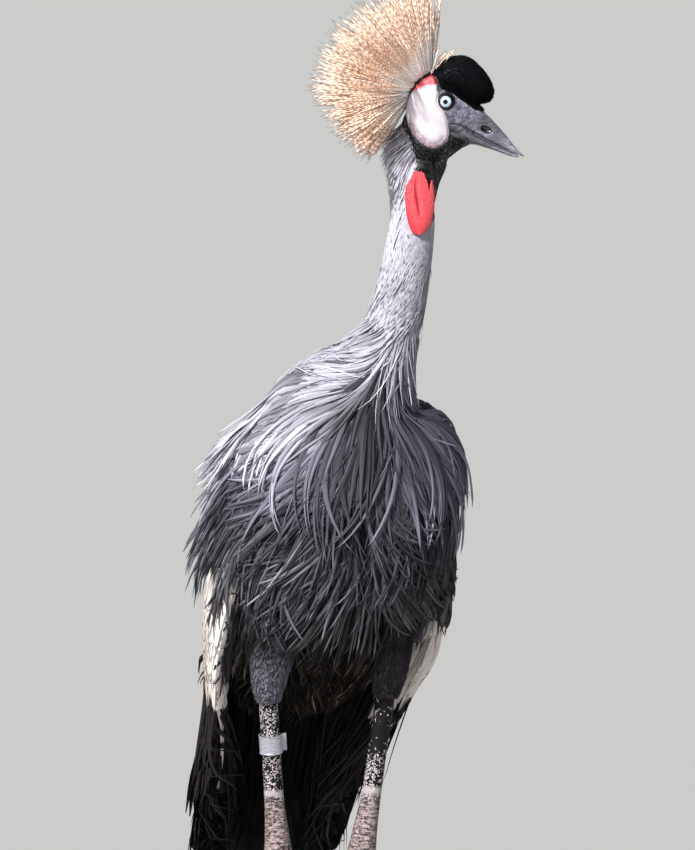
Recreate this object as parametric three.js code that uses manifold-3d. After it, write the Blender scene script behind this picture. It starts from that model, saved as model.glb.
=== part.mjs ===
// A grey crowned crane, standing and alert, as a still model at life size.
// Millimetres, +Z up. The bird faces -Y, turned a little to its own left, and its head looks to its left.
// The origin is on the floor, below the middle of the model's box.
// Two frames hold it: the body frame (x to the bird's left, y to its back, z up) and the head frame,
// which has its origin between the eyes and its bill along -y.
import * as THREE from "three";
import { mergeVertices } from "three/addons/utils/BufferGeometryUtils.js";
import Module from "manifold-3d";

const wasm = await Module();
wasm.setup();

// Pose
const BODY_TURN = THREE.MathUtils.degToRad(18);
const HEAD_TURN = THREE.MathUtils.degToRad(66);
const HEAD_NOD = THREE.MathUtils.degToRad(23);
const HEAD_AT = [89.7, -108, 961];

// Fits
const GAP = 0.3;
const SUNK = 4;

// Legs: the ankle is the joint that bends backwards, half way up.
const HIP_HALF = 60;
const ANKLE = { x: 42, y: 17, z: 207 };
const FOOT = { x: 44, y: 4 };
const SHANK_TOP = 372;
const SHANK_RADIUS = 9.2;
const TOE_RADIUS = 6.2;
// How high up the foot and the toes reach into the leg.
const FOOT_TOP = 26;
// Each toe: its turn from straight ahead, towards the outside, its reach without the claw, and its claw.
const TOES = [
  { name: "inner", turn: -33, reach: 60, claw: 13 },
  { name: "middle", turn: -2, reach: 82, claw: 14 },
  { name: "outer", turn: 31, reach: 64, claw: 13 },
  { name: "hind", turn: 176, reach: 34, claw: 12 },
];
// The band sits a share of the way down the bare leg.
const BAND = { share: 0.088, height: 18, radius: 10.2, wall: 1, tab: 4.5 };

// Head
const EYE = { x: 15.2, radius: 7.6 };
const LID = { radius: 6.9, thick: 1.5, out: 3.4 };
const CREST = { y: 19.4, z: -5.1, spread: 74, reach: 114.5, count: 155, rootRadius: 1.2, pad: 4 };
// How far the bristles' roots spread over the nape: sideways, up and down.
const NAPE = { side: 8, up: 25, down: 20 };

const vec = (x, y, z) => new THREE.Vector3(x, y, z);
const rad = THREE.MathUtils.degToRad;
const { lerp, clamp } = THREE.MathUtils;

// Seeded draws, so that every run gives the same bird.
function draws(seed) {
  let state = seed;
  return (low = 0, high = 1) => {
    state = (state + 0x6d2b79f5) | 0;
    let mixed = Math.imul(state ^ (state >>> 15), 1 | state);
    mixed = (mixed + Math.imul(mixed ^ (mixed >>> 7), 61 | mixed)) ^ mixed;
    return low + (high - low) * (((mixed ^ (mixed >>> 14)) >>> 0) / 4294967296);
  };
}

// Solids and geometry

// A closed surface through rings of equally many points; a ring of one point is a tip.
function skinOver(rings) {
  const points = [];
  const faces = [];
  const starts = rings.map((ring) => {
    const start = points.length;
    points.push(...ring);
    return start;
  });
  for (let i = 0; i + 1 < rings.length; i++) {
    const sides = Math.max(rings[i].length, rings[i + 1].length);
    const place = (ring, j) => starts[ring] + (rings[ring].length === 1 ? 0 : j % sides);
    for (let j = 0; j < sides; j++) {
      const [aj, ak] = [place(i, j), place(i, j + 1)];
      const [bj, bk] = [place(i + 1, j), place(i + 1, j + 1)];
      if (aj !== ak) faces.push([aj, ak, bk]);
      if (bj !== bk) faces.push([aj, bk, bj]);
    }
  }
  const lid = (ring, start, turned) => {
    if (ring.length < 3) return;
    for (let j = 1; j + 1 < ring.length; j++) {
      faces.push(turned ? [start, start + j + 1, start + j] : [start, start + j, start + j + 1]);
    }
  };
  lid(rings[0], starts[0], true);
  lid(rings[rings.length - 1], starts[starts.length - 1], false);
  return solidFrom(points, faces);
}

// A manifold solid from points and faces, turned to face outwards.
function solidFrom(points, faces) {
  let volume = 0;
  for (const [a, b, c] of faces) {
    volume += points[a].dot(vec(0, 0, 0).crossVectors(points[b], points[c]));
  }
  const triVerts = new Uint32Array(faces.flatMap(([a, b, c]) => (volume < 0 ? [a, c, b] : [a, b, c])));
  const vertProperties = new Float32Array(points.flatMap((p) => [p.x, p.y, p.z]));
  return new wasm.Manifold(new wasm.Mesh({ numProp: 3, vertProperties, triVerts }));
}

// A manifold solid from one of three.js's own closed geometries.
function solidOf(geometry) {
  const bare = geometry.clone();
  bare.deleteAttribute("normal");
  bare.deleteAttribute("uv");
  const merged = mergeVertices(bare, 1e-3);
  return new wasm.Manifold(
    new wasm.Mesh({
      numProp: 3,
      vertProperties: new Float32Array(merged.attributes.position.array),
      triVerts: new Uint32Array(merged.index.array),
    }),
  );
}

// The three.js geometry of a solid, of its largest closed surface only.
function geometryOf(solid) {
  const [largest] = solid.decompose().sort((a, b) => b.volume() - a.volume());
  const { numProp, numVert, vertProperties, triVerts } = largest.getMesh();
  const positions = new Float32Array(numVert * 3);
  for (let i = 0; i < numVert; i++) {
    positions.set(vertProperties.subarray(i * numProp, i * numProp + 3), i * 3);
  }
  const geometry = new THREE.BufferGeometry();
  geometry.setAttribute("position", new THREE.BufferAttribute(positions, 3));
  geometry.setIndex(new THREE.BufferAttribute(new Uint32Array(triVerts), 1));
  geometry.computeVertexNormals();
  return geometry;
}

const union = (...solids) => wasm.Manifold.union(solids.flat());

// Keeps the side of a plane that its normal points to.
const keepAbove = (solid, point, normal) =>
  solid.trimByPlane([normal.x, normal.y, normal.z], point.dot(normal));

// A smooth tapering form through rows of [x, y, z, half width, reach up, reach down].
// Its width runs along `sideways`, and "up" is the way that side cross along points.
class Form {
  constructor(rows, sideways = vec(1, 0, 0)) {
    const smooth = (points) => new THREE.CatmullRomCurve3(points, false, "catmullrom", 0.5);
    this.line = smooth(rows.map(([x, y, z]) => vec(x, y, z)));
    this.size = smooth(rows.map(([, , , wide, up, down = up]) => vec(wide, up, down)));
    this.sideways = sideways;
    this.rows = rows.length - 1;
    this.length = this.line.getLength();
  }

  // The place on the form's skin at share t of its rows and angle a round it, lifted off it.
  at(t, a, lift = 0) {
    const inside = clamp(t, 0, 1);
    const along = this.line.getTangent(inside);
    const up = vec(0, 0, 0).crossVectors(this.sideways, along).normalize();
    const side = vec(0, 0, 0).crossVectors(along, up).normalize();
    const { x: wide, y: over, z: under } = this.size.getPoint(inside);
    const [across, high] = [Math.cos(a), Math.sin(a)];
    const reach = high < 0 ? under : over;
    const slope = Math.hypot(across * reach, high * wide) || 1;
    return this.line
      .getPoint(inside)
      .addScaledVector(along, (t - inside) * this.length)
      .addScaledVector(side, across * (wide + (lift * reach) / slope))
      .addScaledVector(up, high * (reach + (lift * wide) / slope));
  }

  solid({ steps = 2 * this.rows, sides = 12, grow = 0, from = 0, to = 1 } = {}) {
    const rings = [];
    for (let i = 0; i <= steps; i++) {
      const t = lerp(from, to, i / steps);
      const { x: wide, y: high } = this.size.getPoint(t);
      if (Math.max(wide, high) < 0.1) {
        rings.push([this.line.getPoint(t).addScaledVector(this.line.getTangent(t), i === 0 ? -grow : grow)]);
        continue;
      }
      const ring = [];
      for (let j = 0; j < sides; j++) ring.push(this.at(t, (2 * Math.PI * (j + 0.5)) / sides, grow));
      rings.push(ring);
    }
    return skinOver(rings);
  }
}

// Feather outlines: [share of the length, share of the width], up to the tip at 1.
const HACKLE = [[0, 0.55], [0.34, 1], [0.7, 0.7]];
const QUILL = [[0, 0.5], [0.4, 1], [0.88, 0.78]];
const COVERT = [[0, 0.5], [0.4, 1], [0.85, 0.66]];

// A thin tapered vane along control points, flat below with a low ridge above.
// Its width's direction is the same all along, so each of its faces stays flat and none can cross another.
// `grow` gives the room that the vane takes with a gap round it.
function vane(points, { outward, width, thick, outline, grow = 0 }) {
  const curve = new THREE.CatmullRomCurve3(points, false, "catmullrom", 0.5);
  const whole = points[points.length - 1].clone().sub(points[0]);
  const side = vec(0, 0, 0).crossVectors(whole, outward).normalize();
  const rings = outline.map(([share, wide]) => {
    const up = vec(0, 0, 0).crossVectors(side, curve.getTangent(share)).normalize();
    const half = (width * wide) / 2 + grow;
    const section = [[-half, -grow], [0, thick + grow], [half, -grow]];
    if (grow > 0) section.splice(1, 1, [-half, grow], section[1], [half, grow]);
    return section.map(([x, y]) => curve.getPoint(share).addScaledVector(side, x).addScaledVector(up, y));
  });
  rings.push([curve.getPoint(1).addScaledVector(curve.getTangent(1), 2 * grow)]);
  return skinOver(rings);
}

// A vane that lies along a form: `start` and `end` are [t, angle], and `lifts` its heights from root to tip.
// `droop` lets its tip hang, and `clear` moves its points.
function lyingVane(form, start, end, lifts, { droop = vec(0, 0, 0), clear = (p) => p, ...options }) {
  const points = lifts.map((lift, i) => {
    const s = i / (lifts.length - 1);
    const point = form.at(lerp(start[0], end[0], s), lerp(start[1], end[1], s), lift);
    point.addScaledVector(droop, s * s);
    return i === 0 ? point : clear(point);
  });
  const middle = [lerp(start[0], end[0], 0.5), lerp(start[1], end[1], 0.5)];
  const outward = form.at(...middle, 5).sub(form.at(...middle, 0)).normalize();
  return vane(points, { outward, ...options });
}

// Neck and trunk, one form from the head to the rump, in the body frame
const TRUNK = new Form([
  [66, -98, 903, 21, 23, 24],
  [57.7, -98.7, 864, 21, 22, 22.5],
  [54.6, -102, 840, 21.5, 22, 22.5],
  [49.6, -104.5, 812, 23, 23, 23.5],
  [41, -106, 768, 25.5, 25, 25.5],
  [33, -104, 738, 28, 27, 28],
  [22, -100, 708, 38, 35, 34],
  [12, -90, 672, 61, 52, 48],
  [6, -76, 630, 88, 66, 64],
  [2, -54, 585, 103, 78, 80],
  [0, -24, 540, 106, 86, 90],
  [0, 14, 497, 102, 84, 90],
  [0, 58, 456, 91, 74, 80],
  [0, 108, 417, 72, 57, 62],
  [0, 156, 381, 50, 39, 40],
  [0, 194, 352, 30, 25, 24],
  [0, 216, 334, 16, 14, 13],
]);
const TRUNK_FACETS = { steps: 21, sides: 16 };
const NECK_CUT = 740;
const HEAD_CUT = { point: [3, -3, -82], normal: [0, 0.12, 1] };

// Hackles of the neck's base and the breast, the mantle and the belly: tiers of long, loose, pointed plumes.
// Each tier: place down the trunk, first and last angle, plume count, length, width, and flare at the sides.
const HACKLE_TIERS = [
  { t: 0.345, from: 0, to: 360, count: 8, length: 84, width: 12, flare: 6 },
  { t: 0.395, from: 20, to: 380, count: 10, length: 104, width: 14, flare: 12 },
  { t: 0.445, from: -192, to: 12, count: 11, length: 120, width: 15, flare: 15 },
  { t: 0.495, from: -186, to: 6, count: 10, length: 124, width: 16, flare: 16 },
  { t: 0.545, from: -178, to: -2, count: 11, length: 124, width: 16, flare: 16 },
  { t: 0.6, from: -170, to: -10, count: 10, length: 116, width: 16, flare: 10 },
  { t: 0.655, from: -156, to: -24, count: 9, length: 104, width: 16, flare: 4 },
  { t: 0.71, from: -140, to: -40, count: 7, length: 94, width: 16, flare: 0 },
  { t: 0.765, from: -122, to: -58, count: 4, length: 84, width: 16, flare: 0 },
  { t: 0.47, from: 24, to: 156, count: 5, length: 116, width: 19, flare: 0 },
  { t: 0.55, from: 32, to: 148, count: 5, length: 122, width: 20, flare: 0 },
  { t: 0.63, from: 40, to: 140, count: 5, length: 122, width: 20, flare: 0 },
  { t: 0.71, from: 50, to: 130, count: 3, length: 108, width: 21, flare: 0 },
];
// How far their tips drift out from the breast's middle line, on the left and on the right.
const SWEEP = { left: rad(12), right: rad(24) };
// Their heights over the skin rise with length by more than a plume's thickness per tier,
// so that none cuts into the next.
const HACKLE_THICK = 2.4;
// The share of a plume inside a wing's room from which it is left out.
const COVERED_SHARE = 0.22;
const HACKLE_RISE = 9.5 / 120;

function hackles() {
  const draw = draws(7);
  const plumes = HACKLE_TIERS.flatMap(({ t, from, to, count, length, width, flare }, tier) =>
    Array.from({ length: count }, (_, i) => {
      const closed = to - from >= 360;
      const share = (i + (closed ? (tier % 2) / 2 : 0)) / (closed ? count : count - 1);
      const angle = rad(lerp(from, to, share) + draw(-2, 2));
      const outwards = Math.cos(angle) > 0 ? SWEEP.left : SWEEP.right;
      const end = angle - Math.sin(2 * angle) * outwards + draw(-0.04, 0.04);
      const belly = clamp(-Math.sin(angle), 0, 1);
      const sideways = Math.cos(angle) ** 2;
      const long = length * draw(0.88, 1.1) * (1 + 0.2 * sideways * belly);
      const top = long * HACKLE_RISE;
      if (overWings(TRUNK.at(t, angle, 1)).distanceTo(TRUNK.at(t, angle, 1)) > 4) return null;
      return lyingVane(
        TRUNK,
        [t, angle],
        [t + long / TRUNK.length, end],
        [-SUNK, top * 0.33, top * 0.66 + flare * sideways * 0.5, top + flare * sideways * 1.6],
        {
          width: width * draw(0.88, 1.12),
          thick: HACKLE_THICK,
          outline: HACKLE,
          droop: vec(0, 0, -10 * belly),
          clear: overWings,
        },
      );
    }),
  );
  return plumes.filter((plume) => plume);
}

// Wings: each a slab along the flank that carries tiers of vanes, made for the left side and mirrored
const WING_IN = rad(16);
const WING = new Form(
  [
    [88, -66, 598, 3, 6, 6],
    [98, -48, 570, 11, 32, 24],
    [105, -10, 512, 15, 58, 46],
    [103, 42, 440, 15, 70, 54],
    [83, 96, 366, 11, 58, 46],
    [66, 142, 296, 7, 36, 28],
    [60, 168, 256, 3, 18, 14],
  ],
  vec(Math.cos(WING_IN), Math.sin(WING_IN), 0),
);
const WING_FACETS = { steps: 8, sides: 10 };
const WING_COAT = 7;
// Tiers over the slab: place along it, first and last angle (90 is the back edge), count, length and width.
const COVERT_TIERS = [
  { t: 0.21, from: 62, to: -50, count: 4, length: 104, width: 34 },
  { t: 0.34, from: 74, to: -60, count: 5, length: 110, width: 33 },
  { t: 0.47, from: 70, to: -62, count: 5, length: 118, width: 31 },
];
const PLUMES = { t: 0.66, from: 40, to: -40, count: 4, length: 170, width: 14 };
const SECONDARIES = { t: 0.58, from: 86, to: 4, count: 6, width: 31 };
const PRIMARIES = { t: 0.64, from: -22, to: -60, count: 3, width: 29 };
const VANE_THICK = 2;
const VANE_STEP = 2.4;

// Moves a point of a breast plume out sideways, clear of the wing and its coverts.
function overWings(point) {
  const side = Math.sign(point.x);
  const here = vec(Math.abs(point.x), point.y, point.z);
  let best = { distance: Infinity };
  for (let i = 1; i < 36; i++) {
    const t = i / 36;
    const distance = WING.line.getPoint(t).distanceTo(here);
    if (distance < best.distance) best = { t, distance };
  }
  const along = WING.line.getTangent(best.t);
  const back = vec(0, 0, 0).crossVectors(WING.sideways, along).normalize();
  const out = vec(0, 0, 0).crossVectors(along, back).normalize();
  const { x: wide, y: high, z: low } = WING.size.getPoint(best.t);
  const offset = here.clone().sub(WING.line.getPoint(best.t));
  const [ahead, across, over] = [offset.dot(along), offset.dot(back), offset.dot(out)];
  const room = 1 - (across / ((across > 0 ? high : low) + WING_COAT)) ** 2;
  if (room <= 0 || Math.abs(ahead) > 20) return point;
  const needed = (wide + WING_COAT + 2) * Math.sqrt(room);
  if (over >= needed || over < -wide - WING_COAT) return point;
  here.addScaledVector(out, needed - over);
  return here.setX(here.x * side);
}

// Tiers of coverts lie along the slab, and the long feathers run from it to tips of their own below it.
function wingFeathers(side, grow = 0) {
  const draw = draws(side > 0 ? 21 : 22);
  const thick = VANE_THICK;
  const tier = ({ t, from, to, count, length, width }, outline, rise = 6.4, droop = 0) =>
    Array.from({ length: count }, (_, i) => {
      const angle = rad(lerp(from, to, i / (count - 1)));
      const reach = (length * draw(0.96, 1.04)) / WING.length;
      return lyingVane(WING, [t, angle], [t + reach, angle], [-SUNK, 0.33 * rise, 0.7 * rise, rise], {
        width,
        thick,
        outline,
        grow,
        droop: vec(0, 0, -droop),
      });
    });
  const long = ({ t, from, to, count, width }, tipOf, heightOf) =>
    Array.from({ length: count }, (_, i) => {
      const share = i / (count - 1);
      const angle = rad(lerp(from, to, share));
      const tip = tipOf(share);
      const early = WING.at(t + 0.14, angle, 1.5);
      const outward = vec(1, 0.5, 0.2).normalize();
      const height = heightOf(i);
      const points = [
        WING.at(t, angle, -SUNK),
        early.clone().addScaledVector(outward, height / 2),
        early.clone().lerp(tip, 0.55).add(vec(2, 4, 0)).addScaledVector(outward, height),
        tip.clone().addScaledVector(outward, height),
      ];
      return vane(points, { outward, width, thick, outline: QUILL, grow });
    });
  return [
    ...COVERT_TIERS.flatMap((row) => tier(row, COVERT)),
    ...tier(PLUMES, HACKLE, 9, 12),
    ...long(
      SECONDARIES,
      (s) => vec(lerp(16, 70, s), lerp(262, 214, s), lerp(226, 232, s)),
      (i) => VANE_STEP * (SECONDARIES.count - i),
    ),
    ...long(
      PRIMARIES,
      (s) => vec(lerp(72, 60, s), lerp(204, 180, s), lerp(196, 224, s)),
      (i) => -VANE_STEP * i,
    ),
  ];
}

const onSide = (solid, side) => (side > 0 ? solid : solid.mirror([1, 0, 0]));

function wing(side) {
  return onSide(union(WING.solid(WING_FACETS), ...wingFeathers(side)), side);
}

// The room that a wing and its coat take, which no plume of the trunk may enter.
function wingRoom(side) {
  return onSide(union(WING.solid({ ...WING_FACETS, grow: WING_COAT }), ...wingFeathers(side, GAP)), side);
}

// Tail: a fan of stiff black feathers from the rump, hanging steeply
const TAIL = { root: [0, 204, 334], tip: [0, 244, 180], count: 9, halfRoot: 13, halfTip: 48, width: 27 };
const TAIL_CORE = new Form([
  [0, 190, 356, 20, 14],
  [0, 205, 334, 22, 13],
  [0, 216, 306, 20, 8],
  [0, 224, 280, 14, 3],
]);

function tail() {
  const feathers = Array.from({ length: TAIL.count }, (_, i) => {
    const share = (2 * i) / (TAIL.count - 1) - 1;
    const low = Math.abs(share);
    const under = vec(0, -VANE_STEP * Math.abs(i - (TAIL.count - 1) / 2), 0);
    const root = vec(...TAIL.root).add(vec(share * TAIL.halfRoot, 0, 0));
    const tip = vec(...TAIL.tip).add(vec(share * TAIL.halfTip, -6 * low, 14 * low)).add(under);
    const bend = root.clone().lerp(tip, 0.5).add(vec(0, 3, 0)).addScaledVector(under, 0.5);
    return vane([root, bend, tip], {
      outward: vec(share * 0.25, 1, 0.25),
      width: TAIL.width,
      thick: VANE_THICK,
      outline: QUILL,
    });
  });
  return union(TAIL_CORE.solid({ steps: 5, sides: 10 }), ...feathers);
}

// Head, in the head frame: the skull and face run from the bill's base to the nape, and the throat goes down
const SKULL = new Form([
  [0, -37, -14.5, 7.5, 8, 10.5],
  [0, -32, -13.8, 10, 11.5, 13.5],
  [0, -24, -12, 12.8, 15, 18],
  [0, -14, -10.6, 15.5, 20, 23],
  [0, -3, -9.6, 18, 25, 27],
  [0, 9, -9, 20, 30, 28],
  [0, 20, -8, 19.5, 29.5, 26],
  [0, 29, -7.5, 15.5, 21.5, 20],
  [0, 36, -7.5, 0, 0, 0],
]);
const THROAT = new Form([
  [0, 12, -12, 15, 18, 18],
  [0, 9, -30, 18.5, 22, 27],
  [0, 5, -46, 20, 24, 28],
  [0, 1.5, -65, 20.5, 24, 26],
  [0, -2, -84, 21, 23, 24],
  [0, -7, -104, 21, 22, 22.5],
]);
const CAP = new Form([
  [0, -40.5, 17, 0, 0, 0],
  [0, -39, 17.5, 8.5, 8, 8],
  [0, -34, 19.5, 13.5, 13, 13.5],
  [0, -25, 21.5, 18, 17.5, 17.5],
  [0, -13, 23.5, 20, 21, 18],
  [0, -1, 24, 20.5, 23.5, 18],
  [0, 9, 22, 19.5, 20.5, 15],
  [0, 17, 18, 17.5, 15, 12],
  [0, 22, 15, 14.5, 12, 10],
  [0, 25.5, 13, 0, 0, 0],
]);
const UPPER_BILL = new Form([
  [0, -91, -19.8, 0, 0, 0],
  [0, -88, -19.2, 1.3, 1.6, 1.2],
  [0, -82, -18.4, 2.5, 3.2, 1.5],
  [0, -74, -17.2, 3.7, 5.8, 2.2],
  [0, -65, -16, 5, 9.2, 3],
  [0, -54, -14.6, 6.4, 12.8, 4.2],
  [0, -44, -13.6, 7.6, 15.6, 5],
  [0, -35, -13, 9, 17.4, 5.6],
  [0, -26, -12.6, 10.5, 18.5, 6],
]);
const LOWER_BILL = new Form([
  [0, -85, -20.9, 0, 0, 0],
  [0, -81, -21.2, 1.8, 2.4, 1.5],
  [0, -74, -21.5, 3.1, 3.4, 2.2],
  [0, -64, -21.8, 4.5, 4, 2.6],
  [0, -52, -22.4, 6.2, 4.8, 3.4],
  [0, -42, -23, 7.6, 5.6, 5],
  [0, -33, -24, 9, 7, 8],
  [0, -26, -25, 10.4, 8.4, 10],
]);
const MOUTH_Z = -19;
const BILL_BASE = -31;
// The mouth's line runs on from the bill as a groove in both sides of the face.
const GAPE = { from: 10, depth: 20, length: 17, height: 0.9 };
const NOSTRIL = { x: 7, y: -46, z: -9.2, half: [3, 6, 2.3] };
// The bare white cheek's outline in the head's side view, as [y, z].
const CHEEK_FROM = 9;
const CHEEK_THICK = 2.2;
const CHEEK = [
  [22.5, 19.3], [29.5, 9], [34.6, -4.2], [35.4, -15], [33.7, -25.5], [28.7, -33.7], [16.8, -42.8],
  [0.5, -48], [-10, -46], [-15.8, -37.4], [-15.4, -30], [-9.8, -19.2], [-3, -9.9], [6.6, -5.2],
  [9.6, 4.5], [15.8, 13.5],
];

// A slab of an outline in the head's side view, on one side of the head's middle, made larger by a factor.
function sidePlate(outline, side, from, factor = 1) {
  const middle = outline.reduce(([y, z], [a, b]) => [y + a / outline.length, z + b / outline.length], [0, 0]);
  const shape = new THREE.Shape(
    outline.map(([y, z]) => new THREE.Vector2(lerp(middle[0], y, factor), lerp(middle[1], z, factor))),
  );
  const slab = new THREE.ExtrudeGeometry(shape, { depth: 40, bevelEnabled: false });
  slab.applyMatrix4(new THREE.Matrix4().makeBasis(vec(0, 1, 0), vec(0, 0, 1), vec(1, 0, 0)));
  return solidOf(slab.translate(side > 0 ? from : -40 - from, 0, 0));
}

const head = new THREE.Group();
head.position.set(...HEAD_AT);
head.rotation.order = "ZYX";
head.rotation.set(HEAD_NOD, 0, HEAD_TURN);
head.updateMatrixWorld(true);

const ball = (x, y, z, radius) => solidOf(new THREE.SphereGeometry(radius, 12, 6).translate(x, y, z));

const skullAndThroat = (grow) =>
  union(
    SKULL.solid({ steps: 10, sides: 12, grow }),
    THROAT.solid({ steps: 5, sides: 12, grow }),
  );

function headParts() {
  const flesh = skullAndThroat(0);
  const clear = skullAndThroat(GAP);
  const capClear = CAP.solid({ steps: 10, sides: 12, grow: GAP });
  const sides = [1, -1];
  const eye = (x) => ball(x * EYE.x, 0, 0, EYE.radius);
  const socket = (x) => ball(x * EYE.x, 0, 0, EYE.radius + GAP);
  const lids = (x, grow = 0) =>
    solidOf(
      new THREE.TorusGeometry(LID.radius, LID.thick + grow, 4, 12)
        .rotateY(Math.PI / 2)
        .translate(x * (EYE.x + LID.out), 0, 0),
    );
  const cheek = (x) =>
    skullAndThroat(CHEEK_THICK)
      .intersect(sidePlate(CHEEK, x, CHEEK_FROM))
      .subtract(union(clear, lids(x, GAP), capClear));
  const billPlane = vec(0, BILL_BASE, 0);
  const faceStart = vec(0, BILL_BASE + GAP, 0);
  const face = keepAbove(union(flesh, ...sides.map((x) => lids(x))), faceStart, vec(0, 1, 0));
  const cutPoint = vec(...HEAD_CUT.point);
  const cutNormal = vec(...HEAD_CUT.normal).normalize();
  const groove = sides.map((x) =>
    solidOf(
      new THREE.BoxGeometry(GAPE.depth, GAPE.length, GAPE.height)
        .translate(x * (GAPE.from + GAPE.depth / 2), BILL_BASE + GAPE.length / 2 - 1, MOUTH_Z),
    ),
  );
  const headSolid = keepAbove(face, cutPoint, cutNormal).subtract(union(...sides.map(socket), ...groove));
  const nostril = (x) =>
    solidOf(
      new THREE.SphereGeometry(1, 8, 6)
        .scale(...NOSTRIL.half)
        .translate(x * NOSTRIL.x, NOSTRIL.y, NOSTRIL.z),
    );
  const billBack = vec(0, -1, 0);
  const upper = keepAbove(
    keepAbove(UPPER_BILL.solid({ steps: 8, sides: 8 }), billPlane, billBack),
    vec(0, 0, MOUTH_Z + GAP),
    vec(0, 0, 1),
  ).subtract(union(...sides.map(nostril)));
  const lower = keepAbove(
    keepAbove(LOWER_BILL.solid({ steps: 7, sides: 8 }), billPlane, billBack),
    vec(0, 0, MOUTH_Z - GAP),
    vec(0, 0, -1),
  );
  const cap = CAP.solid({ steps: 10, sides: 12 })
    .subtract(clear)
    .subtract(UPPER_BILL.solid({ steps: 8, sides: 8, grow: GAP }))
    .subtract(union(...sides.map((x) => lids(x, GAP))));
  const cheekRoom = (x) =>
    skullAndThroat(CHEEK_THICK + GAP).intersect(sidePlate(CHEEK, x, CHEEK_FROM - GAP, 1.025));
  return {
    head: headSolid,
    bill_upper: upper,
    bill_lower: lower,
    cap,
    cheek_left: cheek(1),
    cheek_right: cheek(-1),
    eye_left: eye(1),
    eye_right: eye(-1),
    crest: crest().subtract(union(clear, capClear, ...sides.map(cheekRoom))),
  };
}

// The place on the skull's back, half way through the bristles' pad, at x and z.
function napeAt(x, z) {
  const step = 0.01;
  let t = 1;
  const outside = () => {
    const { z: middle } = SKULL.line.getPoint(t);
    const { x: wide, y: over, z: under } = SKULL.size.getPoint(t);
    const high = (z > middle ? over : under) + CREST.pad / 2;
    return Math.hypot(x / (wide + CREST.pad / 2), (z - middle) / high) > 1;
  };
  while (t > 0.6 && outside()) t -= step;
  return vec(x, SKULL.line.getPoint(t).y, z);
}

// The crown of stiff bristles, spread in a wide cone behind the head, each tapering to its tip
function crest() {
  const draw = draws(3);
  const centre = vec(0, CREST.y, CREST.z);
  const pad = keepAbove(
    SKULL.solid({ steps: 10, sides: 12, grow: CREST.pad }),
    vec(0, CREST.y + 1, 0),
    vec(0, 1, 0),
  ).subtract(union(...[1, -1].map((x) => sidePlate(CHEEK, x, CHEEK_FROM - GAP, 1.025))));
  const golden = Math.PI * (3 - Math.sqrt(5));
  const spines = Array.from({ length: CREST.count }, (_, i) => {
    const height = 1 - ((i + 0.5) / CREST.count) * (1 - Math.cos(rad(CREST.spread)));
    const tilt = Math.acos(height) + draw(-0.03, 0.03);
    const round = i * golden + draw(-0.05, 0.05);
    const way = vec(Math.sin(tilt) * Math.cos(round), Math.cos(tilt), Math.sin(tilt) * Math.sin(round));
    const below = clamp(-way.z - 0.35, 0, 1);
    const reach = CREST.reach * (1 - 0.42 * below) * draw(0.92, 1.03);
    const side = vec(0, 0, 0).crossVectors(way, vec(0.3, 0.1, 1)).normalize();
    const up = vec(0, 0, 0).crossVectors(side, way);
    const root = napeAt(NAPE.side * way.x, CREST.z + (way.z > 0 ? NAPE.up : NAPE.down) * way.z);
    const ring = [0, 1, 2].map((k) =>
      root
        .clone()
        .addScaledVector(side, Math.cos((k * 2 * Math.PI) / 3) * CREST.rootRadius)
        .addScaledVector(up, Math.sin((k * 2 * Math.PI) / 3) * CREST.rootRadius),
    );
    return skinOver([ring, [centre.clone().addScaledVector(way, reach)]]);
  });
  return union(pad, ...spines);
}

// Legs, in the body frame
function legForms(side) {
  const leg = (rows) => new Form(rows.map(([x, ...rest]) => [side * x, ...rest]));
  const thigh = leg([
    [50, -34, 462, 30, 30],
    [53, -26, 436, 27, 27],
    [57, -16, 408, 22, 22],
    [59.5, -10, 388, 16, 17],
    [HIP_HALF, -6, SHANK_TOP, 10.4, 10.8],
  ]);
  const shank = leg([
    [HIP_HALF, -6, SHANK_TOP, SHANK_RADIUS, SHANK_RADIUS],
    [lerp(HIP_HALF, ANKLE.x, 0.3), 1, 322, SHANK_RADIUS, SHANK_RADIUS],
    [lerp(HIP_HALF, ANKLE.x, 0.6), 8, 270, SHANK_RADIUS * 1.05, SHANK_RADIUS * 1.1],
    [lerp(HIP_HALF, ANKLE.x, 0.85), 13, 236, 12, 13],
    [ANKLE.x, ANKLE.y, ANKLE.z, 14.4, 15.4],
    [lerp(ANKLE.x, FOOT.x, 0.15), 16, 184, 11.6, 13],
    [lerp(ANKLE.x, FOOT.x, 0.4), 10, 150, 8.6, 9.4],
    [lerp(ANKLE.x, FOOT.x, 0.7), 3, 90, 8, 8.8],
    [FOOT.x, FOOT.y, 34, 8.6, 9.4],
    [FOOT.x, FOOT.y, 16, 11, 11.5],
    [FOOT.x, FOOT.y, -1, 9.5, 10],
  ]);
  return { thigh, shank };
}

function toeForm(side, { turn, reach }) {
  const angle = rad(turn) * side;
  const way = vec(Math.sin(angle), -Math.cos(angle), 0);
  const root = vec(side * FOOT.x, FOOT.y, 0);
  const row = (distance, z, size) => {
    const at = root.clone().addScaledVector(way, distance);
    return [at.x, at.y, z, TOE_RADIUS * size, TOE_RADIUS * size * 0.92];
  };
  const rows = [row(-3, 11, 1.35), row(reach * 0.2, 8.4, 1.22)];
  const pads = Math.round(reach / 26);
  for (let i = 1; i <= pads; i++) {
    const share = lerp(0.2, 1, i / pads);
    rows.push(row(reach * (share - 0.4 / pads), 4.3, 0.82), row(reach * share, 4.5, lerp(1, 0.8, share)));
  }
  return { form: new Form(rows, vec(0, 0, 0).crossVectors(way, vec(0, 0, 1))), way, root };
}

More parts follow.
